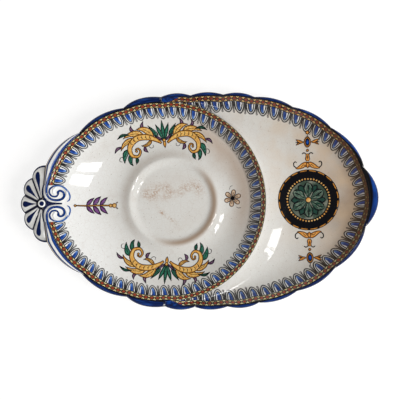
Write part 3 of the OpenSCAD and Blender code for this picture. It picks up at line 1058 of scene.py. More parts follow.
def medallion_glaze(name, glaze):
    """Black ring with gold dashes and beads around a green rosette.

    The paint map holds the share of a full turn and the distance from the middle.
    """
    tree = Tree(name, 0.1)
    angle, reach = tree.uv("paint")
    bead_count, bead_ring, dash_ring, rosette_r = 46, 15.9 * MM, 22.1 * MM, 14.5 * MM
    wobble = tree.noise(200, 2.0) - 0.5
    drawn = reach + wobble * (0.5 * MM)
    gold = tree.mix(tree.noise(300, 2.0).between(0.3, 0.7), glaze.ochre, glaze.straw)
    beat = (angle * 20.0 + wobble * 0.2).wave()
    swell = beat.between(0.05, 0.3) * (0.24 * MM)
    dashes = (abs(drawn - dash_ring) - swell).below(0.12 * MM, 0.1 * MM)
    dashes = dashes * beat.above(0.12, 0.03)
    bead_x = (angle * bead_count).do("FRACT") - 0.5
    bead_x = bead_x * (2 * math.pi * bead_ring / bead_count)
    beads = from_point(bead_x, drawn, 0.0, bead_ring).below(0.62 * MM, 0.14 * MM)
    wash = tree.noise(150, 4.0)
    ground = tree.mix(wash.between(0.33, 0.60), ROSETTE_PALE, ROSETTE_DARK)
    smear = (tree.noise(260, 3.0) - 0.5) * 0.45
    petal = (angle * 6.0 + smear * 0.5).off_middle() * 2.0
    out = (drawn + smear * (2.2 * MM)) / (13.2 * MM)
    blade = petal - (out * math.pi).do("SINE").at_least(0.0) ** 0.7 * 0.82
    vein = petal.below(0.10, 0.06) * out.below(0.86, 0.05)
    whole = out.below(1.0, 0.02)
    outer_half = out.above(0.5, 0.03) * out.below(1.0, 0.03)
    second = (angle * 6.0 + 0.5 + smear * 0.5).off_middle() * 2.0
    bud = second - ((out - 0.45).at_least(0.0) * 1.9 * math.pi).do("SINE") * 0.42
    veins = tree.noise(1.0, 2.0, tree.point(angle * 160.0, drawn * 300.0))
    leaf = tree.mix(wash.between(0.42, 0.6), glaze.green, LEAF_LIGHT)
    leaf = tree.mix(veins.between(0.5, 0.6) * 0.7, leaf, LEAF_VEIN)
    leaf = tree.mix(veins.below(0.43, 0.03) * 0.8, leaf, glaze.ink)
    rosette = tree.paint(
        ground,
        (bud.below(0.0, 0.08) * outer_half, LEAF_SHADE),
        (bud.near(0.0, 0.10, 0.06) * outer_half, glaze.ink),
        (blade.below(0.0, 0.08) * whole, leaf),
        (blade.near(0.0, 0.11, 0.06) * whole, glaze.ink),
        (vein, glaze.ink),
        (drawn.below(2.3 * MM, 0.2 * MM), glaze.ink),
        (drawn.below(1.7 * MM, 0.2 * MM), gold),
    )
    return tree.glazed(tree.paint(
        rosette,
        (drawn.above(rosette_r, 0.12 * MM), glaze.ink),
        (beads, gold),
        (dashes, tone(glaze.ochre, 0.9)),
    ))


def clay_matter(name, glaze):
    """Bare biscuit clay with fine grit."""
    tree = Tree(name, 0.75)
    grit = tree.noise(1200, 3.0)
    base = tree.mix(tree.noise(70, 4.0).between(0.35, 0.7), glaze.clay, tone(glaze.clay, 0.72))
    base = tree.mix(grit.above(0.66, 0.04) * 0.6, base, tone(glaze.clay, 0.4))
    tree.colour(base)
    tree.bump(grit, 0.25 * MM, 0.6)
    return tree.material


# Painted motifs


class Brush:
    """Lays strokes of enamel over the glaze, as thin raised shapes."""

    def __init__(
        self, skin, plan, lift, origin=(0.0, 0.0), turn=0.0, bend=None, flip=False, relief=None
    ):
        self.skin = skin
        self.plan = plan
        self.lift = lift
        self.origin = Vector(origin)
        self.turn = turn
        self.bend = bend
        self.flip = flip
        self.relief = relief

    def spot(self, x, y):
        """From the motif's own millimetres to the plate's plan."""
        x, y = x * MM, (-y if self.flip else y) * MM
        if self.bend:
            angle = self.turn - x / self.bend
            reach = self.bend + y
            return Vector((reach * math.cos(angle), reach * math.sin(angle)))
        c, s = math.cos(self.turn), math.sin(self.turn)
        return self.origin + Vector((c * x - s * y, s * x + c * y))

    def rise(self, point, layer):
        z = self.plan.surface_z(point.x, point.y)
        if self.relief:
            z += self.relief(point)
        return Vector((point.x, point.y, z + self.lift * (1 + 0.4 * layer)))

    def stroke(self, knots, index, layer=0, steps=None):
        """A ribbon through knots of (x, y, half width), in millimetres.

        index is the number of its material, and layer says what it lies on top of.
        """
        line = curve_through(knots, steps or 6 * len(knots))
        spine = [self.spot(x, y) for x, y, _ in line]
        lengths = measure(spine)
        halves = [half * MM for _, _, half in line]
        rows = 5

        def place(column, row):
            before = spine[max(0, column - 1)]
            after = spine[min(len(spine) - 1, column + 1)]
            way = (after - before).normalized()
            side = Vector((-way.y, way.x)) * (row / (rows - 1) * 2 - 1)
            point = spine[column] + side * halves[column]
            inside = halves[column] * (1 - abs(row / (rows - 1) * 2 - 1))
            ends = min(lengths[column], lengths[-1] - lengths[column])
            uv = (lengths[column], min(inside, ends + 0.2 * MM))
            return self.rise(point, layer), uv, (0, 0)

        self.skin.lay(len(spine), rows, place, index, upward=True)

    def dot(self, x, y, radius, index, layer=1, tall=1.0):
        """A round or oval spot."""
        rings, around = 4, 20

        def place(column, row):
            angle = 2 * math.pi * column / (around - 1)
            reach = radius * row / (rings - 1)
            point = self.spot(x + reach * math.cos(angle), y + tall * reach * math.sin(angle))
            return self.rise(point, layer), (angle * MM, (radius - reach) * MM), (0, 0)

        self.skin.lay(around, rings, place, index, upward=True)


def curve_through(knots, steps):
    """Smooth curve through knots, whose last value is a half width."""
    found = []
    for k in range(steps):
        at = k / (steps - 1) * (len(knots) - 1)
        i = min(int(at), len(knots) - 2)
        t = at - i
        near = [knots[min(max(j, 0), len(knots) - 1)] for j in (i - 1, i, i + 1, i + 2)]
        point = []
        for p0, p1, p2, p3 in zip(*near):
            cubic = 3 * (p1 - p2) + p3 - p0
            square = 2 * p0 - 5 * p1 + 4 * p2 - p3
            point.append(p1 + 0.5 * t * (p2 - p0 + t * (square + t * cubic)))
        point[2] = max(0.05, point[2])
        found.append(point)
    return found


def mirrored(knots):
    return [(-x, y, half) for x, y, half in knots]


def thicken(piece, lift):
    """Gives the enamel its body, sunk into the glaze below."""
    solid = piece.modifiers.new("Enamel", "SOLIDIFY")
    solid.thickness = ENAMEL_BODY * lift
    solid.offset = -1.0


# Operators


class Builder:
    """What all the operators that make pieces share."""

    bl_options = {"REGISTER", "UNDO"}

    def execute(self, context):
        scene = context.scene
        self.build(Plan(scene.plate_shape), scene.plate_glaze)
        return {"FINISHED"}


class PLATE_OT_saucer(Builder, bpy.types.Operator):
    """Well, ring and wall of the saucer"""

    bl_idname = "plate.saucer"
    bl_label = "Saucer"

    def build(self, plan, glaze):
        skin = Skin("saucer")
        over = plan.dish_stations()[1:-1]
        upper = plan.lobe_stations() + plan.band_stations()[1:]
        lower = [(-t, s) for t, s in reversed(upper)][1:]
        stations = over + upper + lower
        stations.append(stations[0])
        border = Border(plan.saucer_line)
        shape = plan.shape
        # Rows in turn: well, wall inside, its rim (in mm), wall outside, underside, foot's face
        rings = [shape.seat_r * share for share in (0, 0.15, 0.35, 0.6, 0.8, 0.94, 1.0)]
        rings += [shape.seat_r + (shape.crest_r - shape.seat_r) * k / 8 for k in range(1, 9)]
        rings += [shape.crest_r + (plan.trough_r - shape.crest_r) * k / 10 for k in range(1, 11)]
        inner = [k / 18 for k in range(1, 16)]
        rim = [3.4, 2.7, 2.0, 1.5, 1.1, 0.8, 0.55, 0.35, 0.2, 0.1, 0.04, 0.0]
        skirt = [0.35, 0.7, 1.0]
        under = [0.92, 0.8, 0.65, 0.5, 0.35, 0.2, 0.1, 0.0]
        low = [0.85, 0.5, 0.0]
        rows = sum(len(part) for part in (rings, inner, rim, skirt, under, low))

        def place(column, row):
            turn, share = stations[column]
            line = plan.saucer_line(turn)
            run = line - plan.trough_r
            ridge = plan.pinch((abs(turn), share)) if abs(turn) >= plan.horn else 0.0
            along = border.along(turn)
            bottom = plan.rim_h - plan.lip_h
            if abs(turn) < plan.horn:
                bottom = plan.seat_z(turn) - plan.clay_t
            if row < len(rings):
                reach = rings[row]
                return polar(turn, reach, plan.well_z(reach)), (along, line - reach), (0, 0)
            row -= len(rings)
            if row < len(inner) + len(rim):
                if row < len(inner):
                    inward = run - (run - rim[0] * MM) * inner[row]
                else:
                    inward = rim[row - len(inner)] * MM
                near = 1 - inward / run
                z = plan.wall_z(turn, inward) + ridge * near**plan.pinch_power
                sway = plan.sway(stations[column], False)
                return polar(turn, line - inward, z), border.uv(turn, inward), (0, sway)
            row -= len(inner) + len(rim)
            if row < len(skirt):
                top = plan.wall_z(turn, 0)
                z = top + (bottom - top) * skirt[row]
                return polar(turn, line, z), (along, -(row + 1) * MM), (0, 0)
            row -= len(skirt)
            if row < len(under):
                share = under[row]
                reach = plan.trough_r + run * share
                z = plan.foot_h + (bottom - plan.foot_h) * share**plan.under_power
                return polar(turn, reach, z), (along, -5 * MM), (0, 0)
            row -= len(under)
            return polar(turn, plan.trough_r * low[row], plan.foot_h), (along, -9 * MM), (0, 0)

        skin.lay(len(stations), rows, place)
        skin.close()
        material = body_glaze("saucer glaze", glaze, 8.9 * MM, 7.6 * MM, stop_y=13.6 * MM)
        skin.finish([material], "glazed_body", "cup_well", "saucer_wall")


class PLATE_OT_side_dish(Builder, bpy.types.Operator):
    """Crescent dish beside the saucer"""

    bl_idname = "plate.side_dish"
    bl_label = "Side Dish"

    def build(self, plan, glaze):
        skin = Skin("side_dish_body")
        stations = plan.dish_stations()
        border = Border(plan.dish_line)
        # Places across the dish: 0 at the saucer, 1 at the valley, 2 at the outer line
        top = [0, 0.02, 0.04, 0.065, 0.1] + [0.1 + 0.9 * k / 12 for k in range(1, 13)]
        top += [1 + k / 26 for k in range(1, 26)]
        rim = [2.0, 1.6, 1.2, 0.8, 0.45, 0.2, 0.0]
        low = [2, 1.88, 1.75, 1.6, 1.44, 1.3, 1.16, 0.97, 0.78, 0.6, 0.4, 0.2, 0]
        rows = len(top) + len(rim) + len(low) + 1
        full_run, under_wall = 9 * MM, 0.3 * MM

        def place(column, row):
            turn, share = stations[column]
            line, start = plan.dish_line(turn), plan.saucer_line(turn)
            run = line - start
            ridge = plan.pinch((abs(turn), share))
            if row == rows - 1:
                row = 0
            valley_at = plan.valley_at(run)
            narrow = min(1.0, run / full_run)

            def reach_of(place):
                if place < 1:
                    return start + valley_at * place
                return start + valley_at + (run - valley_at) * (place - 1)

            if row < len(top) + len(rim):
                if row < len(top):
                    inward = max(line - reach_of(top[row]), rim[0] * MM * narrow)
                else:
                    inward = rim[row - len(top)] * MM * narrow
                near = max(0.0, 1 - inward / run)
                z = plan.dish_z(turn, inward) + ridge * near**plan.pinch_power
                sunk = under_wall if row == 0 else 0.0
                sway = plan.sway(stations[column], True)
                spot = polar(turn, line - inward - sunk, z)
                return spot, border.uv(turn, inward), (0, sway)
            place = low[row - len(top) - len(rim)]
            level = plan.valley_z(turn) - plan.clay_t
            first, last = plan.level_shares
            if place < first:
                rise = plan.seat_z(turn) - plan.clay_t - level
                z = level + rise * (1 - place / first) ** 2
            elif place <= 1 + last:
                z = level
            else:
                rise = plan.rim_h - plan.lip_h - level
                z = level + rise * ((place - 1 - last) / (1 - last)) ** plan.under_power
            sunk = under_wall if place == 0 else 0.0
            spot = polar(turn, reach_of(place) - sunk, z)
            return spot, (border.along(turn), -6 * MM), (0, 0)

        skin.lay(len(stations), rows, place)
        skin.close(cap=True)
        material = body_glaze("side dish glaze", glaze, 9.3 * MM, 7.9 * MM, deep=0.4)
        skin.finish([material], "glazed_body", "side_dish")


def lip_skin(name, plan, stations, line_of, outer_of, top_of):
    """Rounded lip of the scalloped edge, from the body's line out to the lobes."""
    skin = Skin(name)
    lengths = measure([polar(turn, line_of(turn), 0) for turn, _ in stations])
    nose, fullness = 14, 0.9

    def place(column, row):
        turn, share = stations[column]
        line, outer = line_of(turn), outer_of(stations[column])
        top = top_of(stations[column])
        if row > nose:
            return polar(turn, line, top), (lengths[column], 2.0), (share, 0)
        angle = math.pi / 2 - math.pi * row / nose
        half = (top - (plan.rim_h - plan.lip_h)) / 2
        out = (outer - line) * math.cos(angle) ** fullness if row < nose else 0.0
        spot = polar(turn, line + out, top - half + half * math.sin(angle))
        around = 1 - angle / (math.pi / 2)
        return spot, (lengths[column], around), (share, max(0.0, out))

    skin.lay(len(stations), nose + 2, place)
    skin.close(cap=True)
    return skin


class PLATE_OT_edge(Builder, bpy.types.Operator):
    """Scalloped edge of the dish and of the saucer"""

    bl_idname = "plate.edge"
    bl_label = "Scalloped Edge"

    def build(self, plan, glaze):
        material = edge_glaze("cobalt edge", glaze)
        dish = lip_skin(
            "scalloped_edge", plan, plan.dish_stations(), plan.dish_line,
            lambda s: plan.lobe_line(s, True),
            lambda s: plan.dish_z(s[0], 0) + plan.pinch((abs(s[0]), s[1])),
        )
        dish.finish([material], "blue_edge", "dish_edge")
        for side, node in (("upper", "upper_lobes"), ("lower", "lower_lobes")):
            lobes = lip_skin(
                side + "_edge", plan, plan.lobe_stations(), plan.saucer_line,
                lambda s: plan.lobe_line(s, False),
                lambda s: plan.wall_z(s[0], 0) + plan.pinch(s),
            )
            if side == "lower":
                lobes.mirror()
            lobes.finish([material], "blue_edge", node)


class PLATE_OT_scrolls(Builder, bpy.types.Operator):
    """Bands and curls beside the shell"""

    bl_idname = "plate.scrolls"
    bl_label = "Scrolls"

    # Blue lines from the shell's hub: material, layer and knots of each
    strokes = [
        (0, 2, [(7.2, 22.5, 0.6), (5.0, 17.5, 0.72), (3.7, 11.5, 0.66), (4.0, 6.6, 0.6),
                (6.7, 3.4, 0.62), (11.0, 2.5, 0.66), (14.7, 3.5, 0.66), (16.3, 5.9, 0.66),
                (15.7, 8.4, 0.62), (13.6, 9.6, 0.58), (11.7, 8.7, 0.52), (12.0, 7.0, 0.55)]),
        (1, 1, [(7.6, 12.6, 0.3), (11.7, 13.4, 0.42), (15.4, 12.6, 0.46), (18.8, 9.6, 0.46),
                (20.5, 5.9, 0.4), (20.0, 2.8, 0.34), (18.4, 1.6, 0.2)]),
        (0, 1, [(8.6, 13.0, 0.4), (6.2, 11.0, 0.5), (5.6, 8.2, 0.5), (7.2, 5.7, 0.5),
                (10.2, 5.3, 0.48), (11.8, 6.7, 0.4), (12.5, 8.6, 0.3)]),
        (2, 1, [(1.4, 14.0, 0.3), (0.6, 10.3, 0.42), (0.7, 6.6, 0.5), (1.9, 3.6, 0.6),
                (3.9, 1.5, 0.65), (6.6, 0.5, 0.5), (10.2, 0.25, 0.36), (14.7, 0.2, 0.25)]),
        (2, 0, [(2.6, 0.3, 0.5), (3.4, 0.9, 0.9), (5.6, 0.4, 0.5)]),
    ]

    def build(self, plan, glaze):
        self.lines(plan, glaze)
        band = scroll_glaze("scroll glaze", glaze)
        curl = curl_glaze("curl glaze", glaze)
        for side in ("upper", "lower"):
            skin = Skin(side + "_scroll_band")
            self.band(skin, plan)
            skin.close(cap=True)
            ridge = Skin(side + "_curl")
            self.curl(ridge, plan)
            ridge.close(cap=True)
            if side == "lower":
                skin.mirror()
                ridge.mirror()
            skin.finish([band], "scroll_glaze", side + "_scroll")
            ridge.finish([curl], "scroll_glaze")

    def band(self, skin, plan):
        stations = plan.band_stations()
        lengths = measure([polar(t, plan.saucer_line(t), 0) for t, _ in stations])
        top, side = 14, 5

        def place(column, row):
            turn = stations[column][0]
            line = plan.saucer_line(turn)
            run = plan.band_line(turn) - line
            low = plan.rim_h - plan.lip_h
            if row < top:
                across = row / (top - 1)
                z = plan.band_z(turn, line + run * across)
                return polar(turn, line + run * across, z), (lengths[column], across), (0, 0)
            down = (row - top + 1) / side
            if down < 1:
                z = plan.band_z(turn, line + run) + (low - plan.rim_h) * down
                out = run * (1 - 0.15 * down**3)
                return polar(turn, line + out, z), (lengths[column], 1 + down), (0, 0)
            if row == top + side - 1:
                return polar(turn, line, low), (lengths[column], 2), (0, 0)
            return polar(turn, line, plan.rim_h), (lengths[column], 3), (0, 0)

        skin.lay(len(stations), top + side + 1, place)

    def curl(self, skin, plan):
        steps, rows = 120, 17
        skirt = 0.15 * MM

        def place(column, row):
            way = column / (steps - 1)
            half = plan.curl_at(way)[1]
            low = row >= rows
            across = (1 - 2 * (row - rows)) if low else row / (rows - 1) * 2 - 1
            spot, _ = plan.curl_at(way, (half + skirt) * across)
            height = plan.curl_rise(abs(across) * (half + skirt) / half, way)
            height += -0.3 * MM if low else 0.03 * MM - 0.05 * MM * across**8
            z = plan.surface_z(spot.x, spot.y) + height
            return Vector((spot.x, spot.y, z)), (way, 0.5 + across / 2), (0, 0)

        skin.lay(steps, rows + 2, place)

    def lines(self, plan, glaze):
        """Blue lines that follow the curls, drawn from the shell's hub."""
        steps = [k / 240 for k in range(241)]

        def relief(point):
            point = Vector((point.x, abs(point.y)))
            rise = 0.0
            for way in steps:
                spot, half = plan.curl_at(way)
                share = (point - spot).length / half
                if share < 1:
                    rise = max(rise, plan.curl_rise(share, way))
            return rise

        skin = Skin("scroll_lines")
        lift = ENAMEL_BODY * plan.shape.enamel_h
        for flip in (False, True):
            brush = Brush(skin, plan, lift, plan.hub, flip=flip, relief=relief)
            for index, layer, knots in self.strokes:
                bold = [(x, y, 1.35 * half) for x, y, half in knots]
                brush.stroke(bold, index, layer, 10 * len(knots))
        blue, navy, cobalt = tone(glaze.blue, 0.6), tone(glaze.cobalt, 1.2), glaze.cobalt
        inks = [
            enamel("scroll blue", glaze, blue, line=0.2, outline=cobalt),
            enamel("scroll light blue", glaze, LIGHT_BLUE, line=0.06, outline=glaze.blue),
            enamel("scroll navy", glaze, navy, line=0.2, outline=cobalt),
        ]
        thicken(skin.finish(inks, "scroll_glaze"), plan.shape.enamel_h)


class PLATE_OT_shell(Builder, bpy.types.Operator):
    """Fluted shell handle and its boss"""

    bl_idname = "plate.shell"
    bl_label = "Shell Handle"

    def build(self, plan, glaze):
        shape = plan.shape
        count, steps = 5, 20
        step = 2 * plan.shell_turn / count
        turns = [plan.shell_turn - step * k for k in range(count + 1)]
        stations = plan.lobes(turns, steps)
        boss_r = (BOSS_HIGH[0] - BOSS_LOW[0]) / 2
        drop, fall, thick = 1.0 * MM, 1.5 * MM, 3.5 * MM
        tops = [0.0, 0.06, 0.13, 0.21, 0.3, 0.4, 0.5, 0.6, 0.7, 0.79, 0.87, 0.93, 0.97, 1.0]
        lows = [0.99, 0.93, 0.82, 0.65, 0.45, 0.2, 0.0]
        skin = Skin("shell")

        def place(column, row):
            turn, share = stations[column]
            tip = plan.shell_point(turn, shape.shell_rise * hump(share))
            way = (tip - plan.hub).normalized()
            start = boss_r * 0.96
            run = (tip - plan.hub).length - start
            back = shape.flute_h * hump(share) ** 0.6
            lobe = min(column / steps, count - 1e-4)
            closing = row == len(tops) + len(lows)
            out = 0.0 if closing else (tops + lows)[row]
            level = plan.rim_h - drop - fall * out * out
            spot = plan.hub + way * (start + run * out)
            if closing or row < len(tops):
                z = level + back * math.sin(math.pi / 2 * out)
                z -= thick * 0.45 * out**8 / 2
                share_out = out
            else:
                z = level - thick * (1 - 0.55 * out**3)
                share_out = 1.2
            side = min(share, 1 - share) * step * (start + run * out)
            return Vector((spot.x, spot.y, z)), (lobe, share_out), (side, run * out)

        skin.lay(len(stations), len(tops) + len(lows) + 1, place)
        skin.close(cap=True)
        skin.finish([shell_glaze("shell glaze", glaze)], "shell_glaze", "shell_handle")

        boss = Skin("boss")
        around, height = 49, 12

        def dome(column, row):
            angle = 2 * math.pi * column / (around - 1)
            if row > height:
                reach, z = (boss_r, 0.0)[row - height - 1], BOSS_LOW[2]
            else:
                rise = math.pi / 2 * row / height
                reach = boss_r * math.sin(rise)
                z = BOSS_HIGH[2] - 1.4 * MM * (1 - math.cos(rise)) ** 1.2
            centre = Vector((plan.hub.x, 0, 0))
            return centre + polar(angle, reach, z), (0, 0), (0, 0)

        boss.lay(around, height + 3, dome)
        boss.close()
        boss.finish([boss_glaze("boss glaze", glaze)], "boss_glaze", "shell_boss")


class PLATE_OT_feet(Builder, bpy.types.Operator):
    """Foot ring under the saucer and rail under the side dish"""

    bl_idname = "plate.feet"
    bl_label = "Feet"

    def build(self, plan, glaze):
        clay = clay_matter("bare clay", glaze)
        outer = (RING_HIGH[0] - RING_LOW[0]) / 2
        middle, top = outer - 2.5 * MM, RING_HIGH[2]
        ring = Skin("foot_ring")
        profile = [(-2.5, 0.05), (-2.2, -0.5), (-1.8, -1.4)]
        profile += [(-1.5, -2.3), (-1.1, -2.8), (-0.6, -3.0)]
        profile += [(-x, z) for x, z in reversed(profile)]
        around = 129

        def place(column, row):
            angle = 2 * math.pi * column / (around - 1)
            x, z = profile[row % len(profile)]
            return polar(angle, middle + x * MM, top + z * MM), (0, 0), (0, 0)

        ring.lay(around, len(profile) + 1, place)
        ring.close()
        ring.finish([clay], "bare_clay", "saucer_foot")

        rail = Skin("foot_rail")
        steps, slim = 40, 0.6
        before_valley, past_valley = 0.89, 0.08
        span = plan.floor_turn * 0.85

        def rail_place(column, row):
            turn = span * (2 * column / (steps - 1) - 1)
            start = plan.saucer_line(turn)
            run = plan.dish_line(turn) - start
            valley_at = plan.valley_at(run)
            x, z = profile[row % len(profile)]
            reach = start + before_valley * valley_at + past_valley * (run - valley_at)
            return polar(turn, reach + x * MM * slim, top + z * MM), (0, 0), (0, 0)

        rail.lay(steps, len(profile) + 1, rail_place)
        rail.close(cap=True)
        rail.finish([clay], "bare_clay", "dish_foot")


class PLATE_OT_medallion(Builder, bpy.types.Operator):
    """Painted medallion and its two pendants"""

    bl_idname = "plate.medallion"
    bl_label = "Medallion"

    def build(self, plan, glaze):
        lift = plan.shape.enamel_h
        centre = (102.2 * MM, -0.6 * MM)
        skin = Skin("medallion")
        brush = Brush(skin, plan, lift, centre)
        rings, around, radius = 24, 121, 23.0

        def place(column, row):
            angle = 2 * math.pi * column / (around - 1)
            reach = radius * row / (rings - 1)
            point = brush.spot(reach * math.cos(angle), reach * math.sin(angle))
            uv = (column / (around - 1), reach * MM)
            return brush.rise(point, 0), uv, (0, 0)

        skin.lay(around, rings, place, upward=True)
        skin.weld()
        piece = skin.finish([medallion_glaze("medallion enamel", glaze)], "glazed_body")
        thicken(piece, lift)

        pens = Skin("pendants")
        for side in (1, -1):
            brush = Brush(pens, plan, lift, centre, flip=side < 0)
            bracket = [(0, 26.6, 2.0), (2.2, 26.8, 2.0), (4.6, 25.5, 1.8), (7.2, 24.3, 1.1),
                       (9.2, 24.2, 0.4)]
            curl = [(8.6, 24.5, 0.35), (10.2, 25.8, 0.42), (10.4, 28.0, 0.4), (9.2, 29.0, 0.35),
                    (8.2, 28.2, 0.3)]
            crease = [(1.6, 25.6, 0.16), (2.8, 26.6, 0.24), (4.2, 25.6, 0.22), (5.0, 24.6, 0.14)]
            for knots in (bracket, mirrored(bracket)):
                brush.stroke(knots, 0)
            for knots in (curl, mirrored(curl), crease, mirrored(crease)):
                brush.stroke(knots, 1, 1)
            brush.stroke([(0, 28.4, 0.5), (0, 26.4, 1.5), (0, 24.0, 0.4)], 0, 1)
            brush.stroke([(0, 29.2, 1.0), (0, 31.0, 1.9), (0, 33.2, 1.4), (0, 35.0, 1.7)], 0, 1)
            brush.stroke([(0, 30.6, 0.15), (0, 32.0, 0.35), (0, 34.0, 0.15)], 1, 2)
            twig = [(0.6, 34.4, 0.25), (2.6, 35.6, 0.42), (4.2, 34.7, 0.25)]
            for knots in (twig, mirrored(twig)):
                brush.stroke(knots, 1, 1)
            brush.dot(0, 37.4, 1.15, 0)
            brush.dot(0, 43.6, 2.7, 0, 0, tall=1.55)
            brush.dot(0, 43.6, 1.7, 2, 1, tall=1.65)
            bud = [(2.8, 43.6, 0.4), (4.8, 43.7, 1.2), (6.4, 44.4, 1.2), (8.6, 45.8, 0.2)]
            sepal = [(4.8, 43.3, 0.5), (6.8, 42.6, 0.8), (8.6, 41.4, 0.2)]
            tip = [(6.0, 43.6, 0.3), (7.6, 43.5, 0.35), (8.9, 43.7, 0.15)]
            for knots in (bud, sepal, mirrored(bud), mirrored(sepal)):
                brush.stroke(knots, 0)
            for knots in (tip, mirrored(tip)):
                brush.stroke(knots, 1, 1)
            brush.stroke([(0, 47.6, 0.25), (0, 48.6, 0.3), (0, 49.4, 0.25)], 1)
            if side > 0:
                brush.dot(0, 50.7, 1.5, 0)
        inks = [
            enamel("ochre enamel", glaze, (0.58, 0.20, 0.03), (0.80, 0.40, 0.11), line=0.42),
            enamel("ink line", glaze, glaze.ink),
            enamel("jewel blue", glaze, glaze.cobalt, tone(glaze.blue, 1.1), line=0.42),
        ]
        pens.weld()
        thicken(pens.finish(inks, "glazed_body"), lift)


class PLATE_OT_leaves(Builder, bpy.types.Operator):
    """Leaf scrolls on both sides of the cup's ring"""

    bl_idname = "plate.leaves"
    bl_label = "Leaf Scrolls"

    stem = [(2.5, -5.5, 0.9), (7, -1.5, 1.7), (13, 2.5, 2.4), (20, 4.5, 2.4), (27, 2.0, 2.0),
            (29.5, -3.6, 1.5), (26, -7.0, 1.2), (22, -5.4, 1.0), (22.2, -2.2, 0.8),
            (24.8, -2.0, 0.7)]
    ochre_leaves = [
        [(8, -0.5, 0.8), (9.5, 4.5, 2.5), (12.5, 8.5, 2.0), (17, 10.8, 0.15)],
        [(14, 3.0, 0.9), (17, 7.0, 2.6), (21.5, 9.6, 1.9), (27, 10.2, 0.15)],
        [(20, 4.6, 0.8), (24.5, 6.2, 2.1), (29, 6.4, 1.5), (33.5, 4.6, 0.15)],
        [(9, 0.0, 0.6), (12, -2.6, 1.5), (16, -3.2, 1.1), (19, -1.6, 0.15)],
    ]
    green_leaves = [
        [(28, 0.5, 0.6), (31.5, 1.0, 2.1), (35, -0.8, 1.6), (38.5, -3.6, 0.15)],
        [(29, -2.5, 0.6), (32, -4.0, 1.8), (34.6, -7.0, 1.2), (35, -9.8, 0.12)],
        [(5, -3.4, 0.5), (5.4, 1.6, 1.6), (7.0, 5.6, 1.2), (9.2, 9.8, 0.12)],
        [(27, -6.5, 0.5), (29, -9.0, 1.4), (32, -10.8, 0.12)],
        [(22, 9.5, 0.3), (26, 12.4, 1.2), (30, 12.6, 0.12)],
    ]
    purple_leaves = [
        [(12, 7.5, 0.5), (12.8, 10.8, 1.4), (10.8, 14.2, 0.12)],
        [(18, 9.0, 0.5), (19.6, 12.2, 1.3), (18.4, 15.2, 0.12)],
        [(16, -3.0, 0.45), (17.6, -5.8, 1.4), (16.0, -8.8, 0.12)],
        [(30.5, 5.6, 0.4), (34.0, 7.6, 1.2), (37.6, 6.8, 0.12)],
    ]
    tendrils = [
        [(33, -1.5, 0.16), (37, 1.6, 0.22), (39.4, 0.4, 0.2), (38.6, -1.4, 0.16)],
        [(14, -3.4, 0.14), (12.6, -6.4, 0.2), (10.2, -6.6, 0.18), (10.0, -4.8, 0.14)],
    ]

    def build(self, plan, glaze):
        lift = plan.shape.enamel_h
        skin = Skin("painted_leaves")
        for sign in (1, -1):
            brush = Brush(skin, plan, lift, turn=math.radians(97) * sign, bend=50.8 * MM)
            for tilt in (1, -1):
                self.branch(brush, tilt, 0.12 if tilt == sign else 0.02)
            self.heart(brush)
        inks = [
            enamel("leaf ochre", glaze, (0.60, 0.235, 0.03), (0.78, 0.50, 0.15), line=0.38),
            enamel("leaf green", glaze, glaze.green, tone(glaze.green, 3.0), line=0.34),
            enamel("leaf purple", glaze, glaze.purple, (0.24, 0.14, 0.2), line=0.3),
            enamel("leaf ink", glaze, glaze.ink),
        ]
        skin.weld()
        thicken(skin.finish(inks, "glazed_body"), lift)

    def branch(self, brush, tilt, drop):
        """One half; its far end drops towards the cup's ring."""

        def put(knots, index, layer):
            brush.stroke([(x * tilt, y - drop * x, half) for x, y, half in knots], index, layer)

        for index, group in enumerate((self.ochre_leaves, self.green_leaves, self.purple_leaves)):
            for knots in group:
                put(knots, index, index % 2)
                if index < 2:
                    put([(x, y, 0.17) for x, y, _ in knots[:3]], 3, index % 2 + 1)
                if index == 0:
                    self.ribs(put, knots)
        put(self.stem, 0, 2)
        for knots in self.tendrils:
            put(knots, 3, 1)
        brush.dot(24.6 * tilt, -3.2 - drop * 24.6, 1.1, 0, 3)
        for x, y in ((10, 1.0), (12.6, 2.4), (15.4, 3.6), (18.2, 4.4), (21, 4.5), (24, 3.8)):
            put([(x, y - 1.4, 0.14), (x + 0.6, y, 0.3), (x, y + 1.3, 0.14)], 3, 3)

    def ribs(self, put, knots):
        """Short ink ribs on both sides of a leaf's vein."""
        line = curve_through(knots, 10)
        for (x, y, half), ahead in zip(line[1:8], line[2:9]):
            way = Vector((ahead[0] - x, ahead[1] - y)).normalized()
            for side in (1, -1):
                out = Vector((-way.y, way.x)) * side * half
                start, end = out * 0.35, out * 0.9 + way * 0.7
                put([(x + start.x, y + start.y, 0.07), (x + end.x, y + end.y, 0.16)], 3, 1)

    def heart(self, brush):
        """The buds where the two halves meet."""
        for x, y in ((0, 11.5), (4.2, 9.0), (-4.2, 9.0)):
            brush.stroke([(0, -4.5, 0.5), (x * 0.6, y * 0.35, 1.5), (x, y, 0.12)], 1, 2)
        for x in (2.6, -2.6):
            brush.stroke([(0, -4.0, 0.4), (x * 1.5, -1.5, 1.0), (x * 2.4, 1.8, 0.12)], 2, 3)
        brush.stroke([(0, -9.5, 0.12), (0, -6.5, 1.3), (0, -3.0, 0.5)], 0, 3)
        brush.dot(0, -3.6, 1.5, 0, 4)


